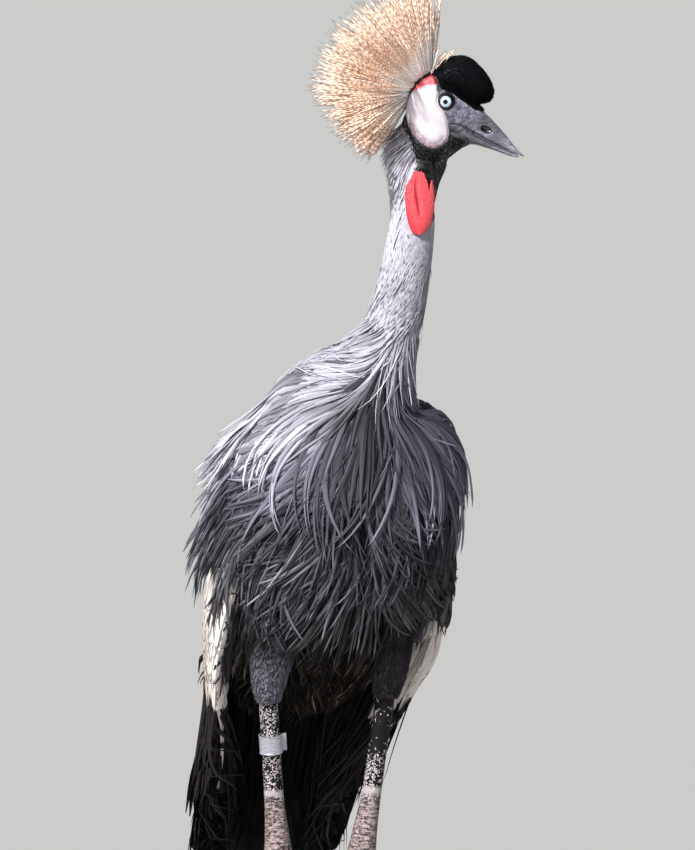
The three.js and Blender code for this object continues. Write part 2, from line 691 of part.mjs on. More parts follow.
// Above the ankle and below it are parted by a thin cut through the ankle's middle.
function legParts(side, label) {
  const { thigh, shank } = legForms(side);
  const up = vec(0, 0, 1);
  const down = vec(0, 0, -1);
  const limb = shank.solid({ steps: 14, sides: 10 });
  const parts = {};
  parts[`thigh_${label}`] = keepAbove(thigh.solid({ steps: 7, sides: 12 }), vec(0, 0, SHANK_TOP + GAP), up);
  parts[`shank_${label}`] = keepAbove(keepAbove(limb, vec(0, 0, SHANK_TOP), down), vec(0, 0, ANKLE.z), up);
  const belowAnkle = keepAbove(limb, vec(0, 0, ANKLE.z - GAP), down);
  parts[`tarsus_${label}`] = keepAbove(belowAnkle, vec(0, 0, FOOT_TOP), up);
  const toes = TOES.map((toe) => ({ toe, ...toeForm(side, toe) }));
  const foot = union(
    keepAbove(limb, vec(0, 0, FOOT_TOP - GAP), down),
    ...toes.map(({ form }) => form.solid({ steps: form.rows, sides: 5 })),
  );
  parts[`foot_${label}`] = keepAbove(foot, vec(0, 0, 0), up);
  for (const { toe, form, way, root } of toes) {
    const claw = new Form(
      [
        [toe.reach - 3, 5.2, 3.2],
        [toe.reach + toe.claw * 0.35, 5.4, 2.6],
        [toe.reach + toe.claw * 0.75, 4.2, 1.6],
        [toe.reach + toe.claw, 2.2, 0],
      ].map(([distance, z, size]) => {
        const at = root.clone().addScaledVector(way, distance);
        return [at.x, at.y, z, size, size];
      }),
      vec(0, 0, 0).crossVectors(way, up),
    );
    const toeClear = form.solid({ steps: form.rows, sides: 5, grow: GAP });
    parts[`claw_${toe.name}_${label}`] = claw.solid({ steps: 3, sides: 5 }).subtract(toeClear);
  }
  return parts;
}

// The metal band round the right shank, with its closing tab
function band() {
  const { shank } = legForms(-1);
  const { share, radius, wall, height, tab } = BAND;
  const at = shank.line.getPoint(share);
  const along = shank.line.getTangent(share);
  const profile = [
    [radius, -height / 2],
    [radius + wall, -height / 2],
    [radius + wall, height / 2],
    [radius, height / 2],
    [radius, -height / 2],
  ].map(([r, z]) => new THREE.Vector2(r, z));
  const ring = solidOf(new THREE.LatheGeometry(profile, 22).rotateX(Math.PI / 2));
  const flange = solidOf(
    new THREE.BoxGeometry(tab + wall / 2, 2, height).translate(radius + wall / 2 + tab / 2, 0, 0),
  );
  const geometry = geometryOf(union(ring, flange));
  const turned = new THREE.Quaternion().setFromUnitVectors(vec(0, 0, -1), along);
  return { geometry, at, turned };
}

// The wattle, a flat red lobe that hangs on the front of the neck, with a notch at its top
const WATTLE = new Form([
  [60.5, -119.5, 898, 8, 3],
  [60, -121, 890, 10.5, 3.6],
  [58.5, -123, 876, 12.5, 4.4],
  [57, -125, 860, 13.5, 4.8],
  [56, -127, 846, 12, 4.4],
  [55.5, -128, 836, 8, 3.4],
  [55.4, -128, 830, 0, 0],
]);
const WATTLE_NOTCH = { top: 900, point: 874, half: 5.5 };

function wattleLobe() {
  const { top, point, half } = WATTLE_NOTCH;
  const { x: middle, y: front } = WATTLE.line.getPoint(0);
  const wedge = new THREE.Shape([
    new THREE.Vector2(-half, top - point),
    new THREE.Vector2(half, top - point),
    new THREE.Vector2(0, 0),
  ]);
  const depth = 40;
  const notch = new THREE.ExtrudeGeometry(wedge, { depth, bevelEnabled: false })
    .rotateX(Math.PI / 2)
    .translate(middle - 1, front + depth / 2, point);
  return WATTLE.solid({ steps: 8, sides: 10 }).subtract(solidOf(notch));
}

// Finishes
const MATERIALS = {
  slate: { color: 0x4a4b52, roughness: 0.85 },
  pale: { color: 0xb9b8bf, roughness: 0.85 },
  white: { color: 0xe9e2d8, roughness: 0.8 },
  black: { color: 0x121214, roughness: 0.7 },
  velvet: { color: 0x08080a, roughness: 0.95 },
  gold: { color: 0xcfa878, roughness: 0.7 },
  cheek: { color: 0xf3eceb, roughness: 0.5 },
  red: { color: 0xd8403f, roughness: 0.55 },
  horn: { color: 0x3b3b3f, roughness: 0.4 },
  scaly: { color: 0x5c5550, roughness: 0.7 },
  iris: { color: 0xa9c9dc, roughness: 0.1 },
  metal: { color: 0xb5b8bd, roughness: 0.35, metalness: 0.9 },
};
const finish = Object.fromEntries(
  Object.entries(MATERIALS).map(([name, settings]) => [name, new THREE.MeshStandardMaterial(settings)]),
);

function named(name, geometry, material) {
  const mesh = new THREE.Mesh(geometry, finish[material]);
  mesh.name = name;
  return mesh;
}

const body = new THREE.Group();
body.rotation.z = BODY_TURN;
body.add(head);

// Trunk and neck are parted by a level cut, and the head's cut plane is carried into the body frame.
const trunk = TRUNK.solid(TRUNK_FACETS);
const trunkClear = TRUNK.solid({ ...TRUNK_FACETS, grow: GAP });
const up = vec(0, 0, 1);
const down = vec(0, 0, -1);
const cutNormal = vec(...HEAD_CUT.normal).normalize();
const cutPlane = new THREE.Plane()
  .setFromNormalAndCoplanarPoint(cutNormal, vec(...HEAD_CUT.point).addScaledVector(cutNormal, -GAP))
  .applyMatrix4(head.matrix);
const belowHead = (solid) =>
  keepAbove(solid, cutPlane.coplanarPoint(vec(0, 0, 0)), cutPlane.normal.clone().negate());

const legs = { left: legParts(1, "left"), right: legParts(-1, "right") };
const thighClear = (side) => legForms(side).thigh.solid({ steps: 7, sides: 12, grow: GAP });
const neck = belowHead(keepAbove(trunk, vec(0, 0, NECK_CUT + GAP), up));
// A plume that a wing would mostly cover is left out, and the others are cut clear of the wings.
const wingRooms = union(wingRoom(1), wingRoom(-1));
const mostlyFree = (plume) => plume.intersect(wingRooms).volume() < COVERED_SHARE * plume.volume();
const plumage = union(...hackles().filter(mostlyFree)).subtract(wingRooms);
const torso = keepAbove(union(trunk, plumage), vec(0, 0, NECK_CUT), down)
  .subtract(union(thighClear(1), thighClear(-1)));
const wattle = belowHead(wattleLobe().subtract(trunkClear));

body.add(named("neck", geometryOf(neck), "pale"));
body.add(named("torso", geometryOf(torso), "slate"));
body.add(named("wattle", geometryOf(wattle), "red"));
for (const [label, side] of [["left", 1], ["right", -1]]) {
  body.add(named(`wing_${label}`, geometryOf(wing(side).subtract(trunkClear)), "white"));
}
body.add(named("tail", geometryOf(tail().subtract(trunkClear)), "black"));

const HEAD_FINISH = {
  head: "horn",
  bill_upper: "horn",
  bill_lower: "horn",
  cap: "velvet",
  cheek_left: "cheek",
  cheek_right: "cheek",
  eye_left: "iris",
  eye_right: "iris",
  crest: "gold",
};
for (const [name, solid] of Object.entries(headParts())) {
  head.add(named(name, geometryOf(solid), HEAD_FINISH[name]));
}
for (const parts of Object.values(legs)) {
  for (const [name, solid] of Object.entries(parts)) {
    const material = name.startsWith("thigh") ? "slate" : name.startsWith("claw") ? "horn" : "scaly";
    body.add(named(name, geometryOf(solid), material));
  }
}
const ringParts = band();
const bandMesh = named("leg_band", ringParts.geometry, "metal");
bandMesh.position.copy(ringParts.at);
bandMesh.quaternion.copy(ringParts.turned);
body.add(bandMesh);

// The model is set on the floor, with its box's middle over the origin.
const crane = new THREE.Group();
crane.add(body);
const box = new THREE.Box3().setFromObject(crane, true);
body.position.set(-(box.min.x + box.max.x) / 2, -(box.min.y + box.max.y) / 2, -box.min.z);

export default crane;
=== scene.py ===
import math

import bpy
import numpy as np
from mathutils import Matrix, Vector
from mathutils.kdtree import KDTree

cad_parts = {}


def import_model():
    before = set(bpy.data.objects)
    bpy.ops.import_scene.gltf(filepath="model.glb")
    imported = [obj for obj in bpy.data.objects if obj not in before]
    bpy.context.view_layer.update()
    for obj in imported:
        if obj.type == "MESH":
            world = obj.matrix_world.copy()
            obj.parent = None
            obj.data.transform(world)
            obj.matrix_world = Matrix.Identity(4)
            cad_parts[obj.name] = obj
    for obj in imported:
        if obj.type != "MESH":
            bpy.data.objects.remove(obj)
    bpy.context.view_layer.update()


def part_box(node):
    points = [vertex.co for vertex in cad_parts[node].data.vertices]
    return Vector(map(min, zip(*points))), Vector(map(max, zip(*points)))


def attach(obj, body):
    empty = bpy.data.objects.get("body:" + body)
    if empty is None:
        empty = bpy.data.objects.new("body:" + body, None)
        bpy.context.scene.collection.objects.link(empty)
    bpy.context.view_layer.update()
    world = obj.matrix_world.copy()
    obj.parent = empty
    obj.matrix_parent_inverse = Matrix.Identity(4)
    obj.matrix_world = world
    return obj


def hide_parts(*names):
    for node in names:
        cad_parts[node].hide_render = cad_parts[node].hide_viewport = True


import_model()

# Pose
BODY_TURN = math.radians(18)
HEAD_TURN = math.radians(66)
HEAD_NOD = math.radians(23)
HEAD_AT = np.array([89.7, -108.0, 961.0])
EYE_X = 15.2
EYE_RADIUS = 7.6

# Photograph: its frame in pixels, the scale at the bird, and the camera's height angle and distance
FRAME_PIXELS = (695, 850)
MM_PER_PIXEL = 0.97
CAMERA_DISTANCE = 30.0
CAMERA_REACH = 100.0
CAMERA_ELEVATION = math.radians(6)
# What the picture's middle looks at: X, and the height where the view line crosses the bird.
AIM = (21.8, 637.0)
SENSOR = 36.0


def about_x(angle):
    c, s = math.cos(angle), math.sin(angle)
    return np.array([[1, 0, 0], [0, c, -s], [0, s, c]])


def about_z(angle):
    c, s = math.cos(angle), math.sin(angle)
    return np.array([[c, -s, 0], [s, c, 0], [0, 0, 1]])


BODY = about_z(BODY_TURN)
HEAD = about_z(HEAD_TURN) @ about_x(HEAD_NOD)


def from_head(points):
    return points @ HEAD.T + HEAD_AT


def to_head(points):
    return (points - HEAD_AT) @ HEAD


def centre_of(node):
    low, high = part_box(node)
    return np.array((low + high) / 2) * 1000


# The body frame's place on the floor is read from where the frame's right eye stands.
SHIFT = centre_of("eye_right") - BODY @ from_head(np.array([-EYE_X, 0.0, 0.0]))


def world(points):
    return (points @ BODY.T + SHIFT) / 1000


def unit(v):
    return v / np.maximum(np.linalg.norm(v, axis=-1, keepdims=True), 1e-9)


def smooth(low, high, value):
    share = np.clip((value - low) / (high - low), 0, 1)
    return share * share * (3 - 2 * share)


def mix(a, b, share):
    share = np.asarray(share)[..., None]
    return np.asarray(a) * (1 - share) + np.asarray(b) * share


def rgb(red, green, blue):
    """A linear colour from the 0 to 255 values that a screen shows."""
    values = np.array([red, green, blue]) / 255
    return np.where(values <= 0.04045, values / 12.92, ((values + 0.055) / 1.055) ** 2.4)


# Forms: smooth tapering shapes, the same as the frame's


def ring_places(steps, sides):
    """The shares along a form and the angles round it of an even net of its skin."""
    return np.linspace(0, 1, steps)[:, None], ((np.arange(sides) + 0.5) * 2 * np.pi / sides)[None]


class Form:
    """Rows of [x, y, z, half width, reach up, reach down], joined by smooth curves."""

    def __init__(self, rows, sideways=(1, 0, 0)):
        data = np.array([list(row) + [row[4]] * (6 - len(row)) for row in rows], float)
        self.knots = np.vstack([2 * data[0] - data[1], data, 2 * data[-1] - data[-2]])
        self.rows = len(data) - 1
        self.sideways = np.array(sideways, float)
        line = self.curve(np.linspace(0, 1, 400))[0][:, :3]
        self.length = np.linalg.norm(np.diff(line, axis=0), axis=1).sum()

    def curve(self, t):
        place = np.clip(t, 0, 1) * self.rows
        i = np.minimum(place.astype(int), self.rows - 1)
        w = (place - i)[..., None]
        a, b, c, d = (self.knots[i + k] for k in range(4))
        start, end = (c - a) / 2, (d - b) / 2
        cubic, square = 2 * b - 2 * c + start + end, -3 * b + 3 * c - 2 * start - end
        return ((cubic * w + square) * w + start) * w + b, (3 * cubic * w + 2 * square) * w + start

    def frame(self, t):
        value, slope = self.curve(t)
        along = unit(slope[..., :3])
        up = unit(np.cross(np.broadcast_to(self.sideways, along.shape), along))
        return value, along, up, np.cross(along, up)

    def at(self, t, angle, lift=0.0):
        """The place on the skin at share t of the rows and an angle round it, lifted off it."""
        t, angle, lift = np.broadcast_arrays(*map(np.asarray, (t, angle, lift)))
        value, along, up, side = self.frame(t)
        across, high = np.cos(angle), np.sin(angle)
        wide = value[..., 3]
        reach = np.where(high < 0, value[..., 5], value[..., 4])
        slope = np.maximum(np.hypot(across * reach, high * wide), 1e-6)
        beyond = (t - np.clip(t, 0, 1)) * self.length
        return (
            value[..., :3]
            + along * beyond[..., None]
            + side * (across * (wide + lift * reach / slope))[..., None]
            + up * (high * (reach + lift * wide / slope))[..., None]
        )

    def rings(self, steps, sides, grow=0.0):
        return self.at(*ring_places(steps, sides), grow)


TRUNK_ROWS = [
    [66, -98, 903, 21, 23, 24],
    [58.1, -98.7, 864, 23.5, 22, 24],
    [55.3, -102, 840, 25.5, 22, 25],
    [50.5, -104.5, 812, 27, 24, 26],
    [42, -106, 768, 29, 26, 27],
    [34, -104, 738, 30.5, 28, 29],
    [22, -100, 708, 38, 35, 34],
    [12, -90, 672, 61, 52, 48],
    [6, -76, 630, 88, 66, 64],
    [2, -54, 585, 103, 78, 80],
    [0, -24, 540, 106, 86, 90],
    [0, 14, 497, 102, 84, 90],
    [0, 58, 456, 91, 74, 80],
    [0, 108, 417, 72, 57, 62],
    [0, 156, 381, 50, 39, 40],
    [0, 194, 352, 30, 25, 24],
    [0, 216, 334, 16, 14, 13],
]
TRUNK = Form(TRUNK_ROWS)
# The long plumes lie on a form that is fuller at the shoulders than the trunk itself
FULL_HEIGHTS = [540, 570, 600, 625, 655, 687, 715, 740]
FULL_WIDTHS = [0, 3, 8, 10, 13, 8, 3, 0]
FULL_SHIFTS = [0, 1, 3, -1, -8, -7, -2, 0]


def fuller(x, y, z, wide, *reach):
    shift, more = (np.interp(z, FULL_HEIGHTS, values) for values in (FULL_SHIFTS, FULL_WIDTHS))
    return [x + shift, y, z, wide + more, *reach]


COAT = Form([fuller(*row) for row in TRUNK_ROWS])
WING_IN = math.radians(16)
# The wing's core under its feathers is slimmer than the folded wing by their depth, and lies further in.
WING_DEPTH, WING_EDGE, WING_INWARD = 0.5, 2, 0.4
WING = Form(
    [
        [x - wide * WING_INWARD, y, z, wide * WING_DEPTH, up - WING_EDGE, down - WING_EDGE]
        for x, y, z, wide, up, down in (
            (88, -66, 598, 3, 6, 6),
            (98, -48, 570, 11, 32, 24),
            (105, -10, 512, 15, 58, 46),
            (103, 42, 440, 15, 70, 54),
            (83, 96, 366, 11, 58, 46),
            (66, 142, 296, 7, 36, 28),
            (60, 168, 256, 3, 18, 14),
        )
    ],
    (math.cos(WING_IN), math.sin(WING_IN), 0),
)
SKULL = Form([
    [0, -37, -14.5, 7.5, 8, 10.5],
    [0, -32, -13.8, 10, 11.5, 13.5],
    [0, -24, -12, 12.8, 15, 18],
    [0, -14, -10.6, 15.5, 20, 23],
    [0, -3, -9.6, 18, 25, 27],
    [0, 9, -9, 20, 30, 28],
    [0, 20, -8, 19.5, 29.5, 26],
    [0, 29, -8.5, 17.5, 23, 24],
    [0, 35, -9.5, 13, 15, 18],
    [0, 38.5, -10, 2, 2, 2],
])
THROAT = Form([
    [0, 12, -12, 15, 21, 18],
    [0, 9, -30, 18.5, 25, 27],
    [0, 5, -46, 20, 27, 28],
    [0, 1.5, -65, 20.5, 27, 26],
    [0, -2, -84, 21, 25, 24],
    [0, -7, -104, 21, 22, 22.5],
])
CAP = Form([
    [0, -40.4, 17, 1, 1, 1],
    [0, -39, 17.5, 8.5, 8, 8],
    [0, -34, 19.5, 13.5, 13, 13.5],
    [0, -25, 21.5, 18, 17.5, 17.5],
    [0, -13, 23.5, 20, 21, 18],
    [0, -1, 24, 20.5, 23.5, 18],
    [0, 9, 22, 19.5, 20.5, 15],
    [0, 17, 18, 17.5, 15, 12],
    [0, 22, 15, 14.5, 12, 10],
    [0, 25.4, 13, 2, 2, 2],
])
UPPER_BILL = Form([
    [0, -91, -19.8, 0.3, 0.3, 0.3],
    [0, -88, -19.2, 1.3, 1.6, 1.2],
    [0, -82, -18.4, 2.5, 3.2, 1.5],
    [0, -74, -17.2, 3.7, 5.8, 2.2],
    [0, -65, -16, 5, 9.2, 3],
    [0, -54, -14.6, 6.4, 12.8, 4.2],
    [0, -44, -13.6, 7.6, 15.6, 5],
    [0, -35, -13, 9, 17.4, 5.6],
    [0, -26, -12.6, 10.5, 18.5, 6],
])
LOWER_BILL = Form([
    [0, -85, -20.9, 0.3, 0.3, 0.3],
    [0, -81, -21.2, 1.8, 2.4, 1.5],
    [0, -74, -21.5, 3.1, 3.4, 2.2],
    [0, -64, -21.8, 4.5, 4, 2.6],
    [0, -52, -22.4, 6.2, 4.8, 3.4],
    [0, -42, -23, 7.6, 5.6, 5],
    [0, -33, -24, 9, 7, 8],
    [0, -26, -25, 10.4, 8.4, 10],
])
MOUTH_Z = -19.0
# The bare cheek's outline in the head's side view, as (y, z), and the line below its red patch.
CHEEK = np.array([
    (22.5, 19.3), (29.5, 9), (34.6, -4.2), (35.4, -15), (33.7, -25.5), (28.7, -33.7), (16.8, -42.8),
    (0.5, -48), (-10, -46), (-15.8, -37.4), (-15.4, -30), (-9.8, -19.2), (-3, -9.9), (6.6, -5.2),
    (9.6, 4.5), (15.8, 13.5),
])
CHEEK_RISE = 2.4
RED_LINE = np.array([(36, -6), (30.5, -1), (24.5, 6.5), (14, 11.5)])

HIP_HALF = 60
ANKLE = (42, 17, 207)
FOOT = (44, 4)
SHANK_TOP = 372
SHANK_RADIUS = 9.2
TOE_RADIUS = 6.2
# Each toe: its turn from straight ahead, towards the outside, its reach without the claw, and its claw.
TOES = {"inner": (-33, 60, 13), "middle": (-2, 82, 14), "outer": (31, 64, 13), "hind": (176, 34, 12)}
BAND = {"share": 0.088, "height": 18, "radius": 10.2, "wall": 1, "roll": 0.35, "tab": 4.5}

# Colours, as a screen shows them
PALE_GREY = rgb(200, 198, 210)
BLUE_GREY = rgb(98, 98, 110)
SLATE = rgb(88, 87, 94)
DARK_SLATE = rgb(68, 66, 70)
BELLY = rgb(20, 18, 17)
BELLY_LIGHT = rgb(88, 73, 62)
BLACK = rgb(7, 7, 8)
VELVET = rgb(14, 14, 17)
CREAM = rgb(244, 236, 232)
STRAW = rgb(214, 168, 92)
CHESTNUT = rgb(84, 46, 32)
BROWN_BLACK = rgb(37, 34, 36)


# Meshes


def tube_faces(rings, sides):
    """Quads between rings of points, one ring after the other."""
    ring = np.arange(sides)
    after = np.roll(ring, -1)
    one = np.stack([ring, after, after + sides, ring + sides], 1)
    return (np.arange(rings - 1)[:, None, None] * sides + one).reshape(-1, 4)


def closed_faces(rings, sides):
    """The faces of a closed tube over rings of points: its quads, and its two ends."""
    ring = np.arange(sides)
    return [tube_faces(rings, sides), np.stack([ring[::-1], ring + (rings - 1) * sides])]


def blade_faces(count, rings, sides):
    """Faces of closed blades whose last ring is one point: the sides, the tips and the root ends."""
    ring = np.arange(sides)
    last = (rings - 2) * sides
    tips = np.stack([ring + last, np.roll(ring, -1) + last, np.full(sides, last + sides)], 1)
    start = (np.arange(count) * (last + sides + 1))[:, None, None]
    parts = tube_faces(rings - 1, sides), tips, ring[None, ::-1]
    return [(start + part).reshape(-1, part.shape[1]) for part in parts]


def in_scene(name, data):
    """A new object in the scene."""
    piece = bpy.data.objects.new(name, data)
    bpy.context.scene.collection.objects.link(piece)
    return piece


def write_values(mesh, values):
    """Point attributes. Three numbers to a point are a colour, or the direction `lie`."""
    for key, value in values.items():
        value = np.asarray(value, np.float32)
        if key == "lie":
            layer, field = mesh.attributes.new(key, "FLOAT_VECTOR", "POINT"), "vector"
            value = (value @ BODY.T).astype(np.float32)
        elif value.ndim == 2:
            layer, field = mesh.color_attributes.new(key, "FLOAT_COLOR", "POINT"), "color"
            value = np.hstack([value, np.ones((len(value), 1), np.float32)])
        else:
            layer, field = mesh.attributes.new(key, "FLOAT", "POINT"), "value"
        layer.data.foreach_set(field, value.ravel())


def make_mesh(name, points, polygons, values=None, uv=None):
    """A mesh object in metres from points in the body frame and arrays of equal polygons."""
    points = world(points.reshape(-1, 3))
    mesh = bpy.data.meshes.new(name)
    mesh.vertices.add(len(points))
    mesh.vertices.foreach_set("co", points.astype(np.float32).ravel())
    corners = np.concatenate([p.ravel() for p in polygons])
    sizes = np.concatenate([np.full(len(p), p.shape[1]) for p in polygons])
    mesh.loops.add(len(corners))
    mesh.loops.foreach_set("vertex_index", corners.astype(np.int32))
    mesh.polygons.add(len(sizes))
    mesh.polygons.foreach_set("loop_start", (np.cumsum(sizes) - sizes).astype(np.int32))
    mesh.polygons.foreach_set("use_smooth", np.ones(len(sizes), bool))
    write_values(mesh, values or {})
    if uv is not None:
        layer = mesh.uv_layers.new(name="OFBake")
        layer.data.foreach_set("uv", uv[corners].astype(np.float32).ravel())
    mesh.update(calc_edges=True)
    mesh.validate()
    return in_scene(name, mesh)


def loft(name, rings, values=None):
    """A closed mesh over rings of points (rings, sides, 3)."""
    faces = closed_faces(*rings.shape[:2])
    return make_mesh(name, rings, face_outwards(rings.reshape(-1, 3), faces), values)


def face_outwards(points, polygons):
    """Turns all polygons round if they face inwards."""
    volume = 0.0
    for p in polygons:
        a = points[p[:, 0]]
        for k in range(1, p.shape[1] - 1):
            volume += np.einsum("ij,ij->", a, np.cross(points[p[:, k]], points[p[:, k + 1]]))
    return polygons if volume > 0 else [p[:, ::-1] for p in polygons]


# Feathers: each blade is a closed strip over a path, with a section of (across, height) round it
RIDGED = np.array([(-1, 0), (0, 1), (1, 0)])
CUPPED = np.array([(-1, -0.2), (-0.45, 0.75), (0, 1), (0.45, 0.75), (1, -0.2)])
VANE = np.array([(-1, 0), (-0.5, 0.9), (-0.05, 1.0), (0, 2.2), (0.05, 1.0), (0.5, 0.9), (1, 0), (0, 0.1)])
UV_PATCH = 0.003


def blades(name, path, up, half, thick, tint, chart, section=RIDGED, roll=None):
    """One coat piece of blades: paths (n, rings, 3), ways up, half widths, tints (n, rings, 3)
    and each root's place on the chart of the skin, as (n, 2) from 0 to 1."""
    count, rings = path.shape[:2]
    sides = len(section)
    lie = unit(np.broadcast_to(up, path.shape))
    along = unit(np.gradient(path, axis=1))
    side = unit(np.cross(along, lie))
    up = np.cross(side, along)
    if roll is not None:
        turn = np.broadcast_to(roll, (count, rings))[..., None]
        side, up = side * np.cos(turn) + up * np.sin(turn), up * np.cos(turn) - side * np.sin(turn)
    across, height = section[:, 0], section[:, 1]
    half = np.broadcast_to(np.asarray(half, float), (count, rings))
    thick = np.broadcast_to(np.asarray(thick, float), (count, rings))
    spread = side[:, :, None] * (half[..., None] * across)[..., None]
    points = path[:, :, None] + spread + up[:, :, None] * (thick[..., None] * height)[..., None]
    points[:, -1] = path[:, -1, None]
    shape = (count, rings, sides)

    def laid(values, *more):
        """Values given as (n, rings, sides) in the order of the points, where the last ring is one."""
        values = np.broadcast_to(values, shape + more)
        rest = values[:, :-1].reshape(count, -1, *more)
        return np.concatenate([rest, values[:, -1, :1]], 1).reshape(-1, *more)

    share = np.linspace(0, 1, rings)[None, :, None]
    points = laid(points, 3)
    values = {
        "tint": laid(tint[:, :, None], 3),
        "lie": laid(lie[:, :, None], 3),
        "along": laid(share),
        "across": laid(across[None, None]),
        "strand": laid((np.arange(count) * 0.618034 % 1)[:, None, None]),
    }
    chart = np.clip(chart, UV_PATCH, 1 - UV_PATCH)
    patch = np.stack(np.broadcast_arrays(across[None, None] / 2, share - 0.5), -1) * UV_PATCH
    uv = laid(chart[:, None, None] + patch, 2)
    return make_mesh(name, points, face_outwards(points, blade_faces(count, rings, sides)), values, uv)


def dress(piece, material, slot, *nodes):
    """Gives a finished piece its material and its body, and hides the frame's nodes that it stands for. The
    slot is not used.
    """
    piece.data.materials.clear()
    piece.data.materials.append(material)
    piece.data.polygons.foreach_set("material_index", np.zeros(len(piece.data.polygons), np.int32))
    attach(piece, "root")
    if nodes:
        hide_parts(*nodes)


def taper(rings, root, widest, tip, power=1.0):
    """Shares of the width along a blade: from the root's to 1 at the widest place, and to the tip's."""
    s = np.linspace(0, 1, rings)
    rise = root + (1 - root) * smooth(0, widest, s)
    fall = 1 - (1 - tip) * np.clip((s - widest) / (1 - widest), 0, 1) ** power
    return np.where(s < widest, rise, fall)


def trace(form, t, angle, length, heading, turn, lifts, field=None):
    """Paths over a form's skin from (t, angle), going each its length at its heading off the form's own
    way, turning as they go, at heights `lifts` (n, rings). Returns points and ways up."""
    steps = lifts.shape[1] - 1
    small = 1e-3
    places, angles = [t], [angle]
    for k in range(steps):
        here = form.at(t, angle)
        down = np.linalg.norm(form.at(t + small, angle) - here, axis=-1) / small
        around = np.linalg.norm(form.at(t, angle + small) - here, axis=-1) / small
        way = heading + turn * (k / steps) ** 1.6
        if field is not None:
            way = way + field(angle, t)
        t = t + length / steps * np.cos(way) / down
        angle = angle + length / steps * np.sin(way) / np.maximum(around, 4)
        places.append(t)
        angles.append(angle)
    places, angles = np.stack(places, 1), np.stack(angles, 1)
    points = form.at(places, angles, lifts)
    return points, unit(form.at(places, angles, lifts + 1) - points)


def tree_of(points):
    """A tree that finds the nearest of some points."""
    tree = KDTree(len(points))
    for i, point in enumerate(points):
        tree.insert(Vector(point), i)
    tree.balance()
    return tree


def gather(points, roots, clump_size, strength, rng):
    """Draws the tips of neighbouring blades together into pointed locks."""
    count, rings = points.shape[:2]
    heads = rng.choice(count, max(count // clump_size, 1), replace=False)
    tree = tree_of(roots[heads])
    nearest = np.array([heads[tree.find(Vector(p))[1]] for p in roots])
    pull = (np.linspace(0, 1, rings) ** 1.5)[None, :, None] * strength.reshape(-1, 1, 1)
    return points + (points[nearest] - points) * pull


# The wing's coverts stand this far out of its core, and loose plumes keep this clear of them.
WING_COAT, PLUME_GAP = 6.0, 2.5
WING_TOP = 560


def wing_place(points):
    """For points (n, 3): where they are across the wing on their side, how far out of it, how far past its
    ends, the wing's half width and reach there, and which way is out."""
    mirror = np.stack([np.where(points[:, 0] < 0, -1, 1), np.ones(len(points)), np.ones(len(points))], 1)
    here = points * mirror
    value, along, up, side = WING.frame(np.linspace(0.01, 0.99, 36))
    best = np.linalg.norm(here[:, None] - value[None, :, :3], axis=2).argmin(1)
    offset = here - value[best, :3]
    across = np.einsum("ij,ij->i", offset, up[best])
    out = np.einsum("ij,ij->i", offset, side[best])
    ahead = np.einsum("ij,ij->i", offset, along[best])
    reach = np.where(across > 0, value[best, 4], value[best, 5])
    return across, out, ahead, value[best, 3], reach, side[best] * mirror


def shortened(points, share):
    """Paths cut off after a share of their rings each, with the same number of rings as before."""
    count, rings = points.shape[:2]
    place = np.linspace(0, 1, rings)[None] * share[:, None] * (rings - 1)
    first = np.minimum(place.astype(int), rings - 2)
    rest = (place - first)[..., None]
    rows = np.arange(count)[:, None]
    return points[rows, first] * (1 - rest) + points[rows, first + 1] * rest


# Where the plumes over the wings leave off: below this height they keep to the front and back edges
PANEL_TOP = 508.0
PANEL_FRONT = -0.72
PANEL_BACK = 0.45
MOST_PUSH = 30.0


def over_wings(points):
    """Lifts plumes clear of the wings from where they reach them, and ends them over the white panel.
    Says also which of them start outside the wings and are long enough to keep."""
    count, rings = points.shape[:2]
    flat = points.reshape(-1, 3)
    across, out, ahead, wide, reach, way = wing_place(flat)
    room = np.sqrt(np.clip(1 - (across / (reach + WING_COAT)) ** 2, 0, 1))
    needed = (wide + WING_COAT + PLUME_GAP) * room - out
    under = (room > 0) & (np.abs(ahead) < 25) & (out > -wide - WING_COAT)
    push = np.where(under, np.maximum(needed, 0), 0).reshape(count, rings)
    free = (push[:, 0] < 4) & (push.max(1) < MOST_PUSH)
    own = np.sin(np.arange(count) * 7.3)[:, None]
    spot = (across / reach).reshape(count, rings) + 0.12 * own
    on_panel = (spot > PANEL_FRONT) & (spot < PANEL_BACK) & (points[..., 2] < PANEL_TOP + 14 * own)
    past = (push > 0.5) & on_panel
    share = np.where(past.any(1), past.argmax(1) / (rings - 1), 1.0)
    push = np.maximum.accumulate(push, axis=1)
    for _ in range(4):
        push[:, 1:-1] = (push[:, :-2] + 2 * push[:, 1:-1] + push[:, 2:]) / 4
    lifted = points + way.reshape(points.shape) * push[..., None]
    return shortened(lifted, share), free & (share > 0.4)


# Materials


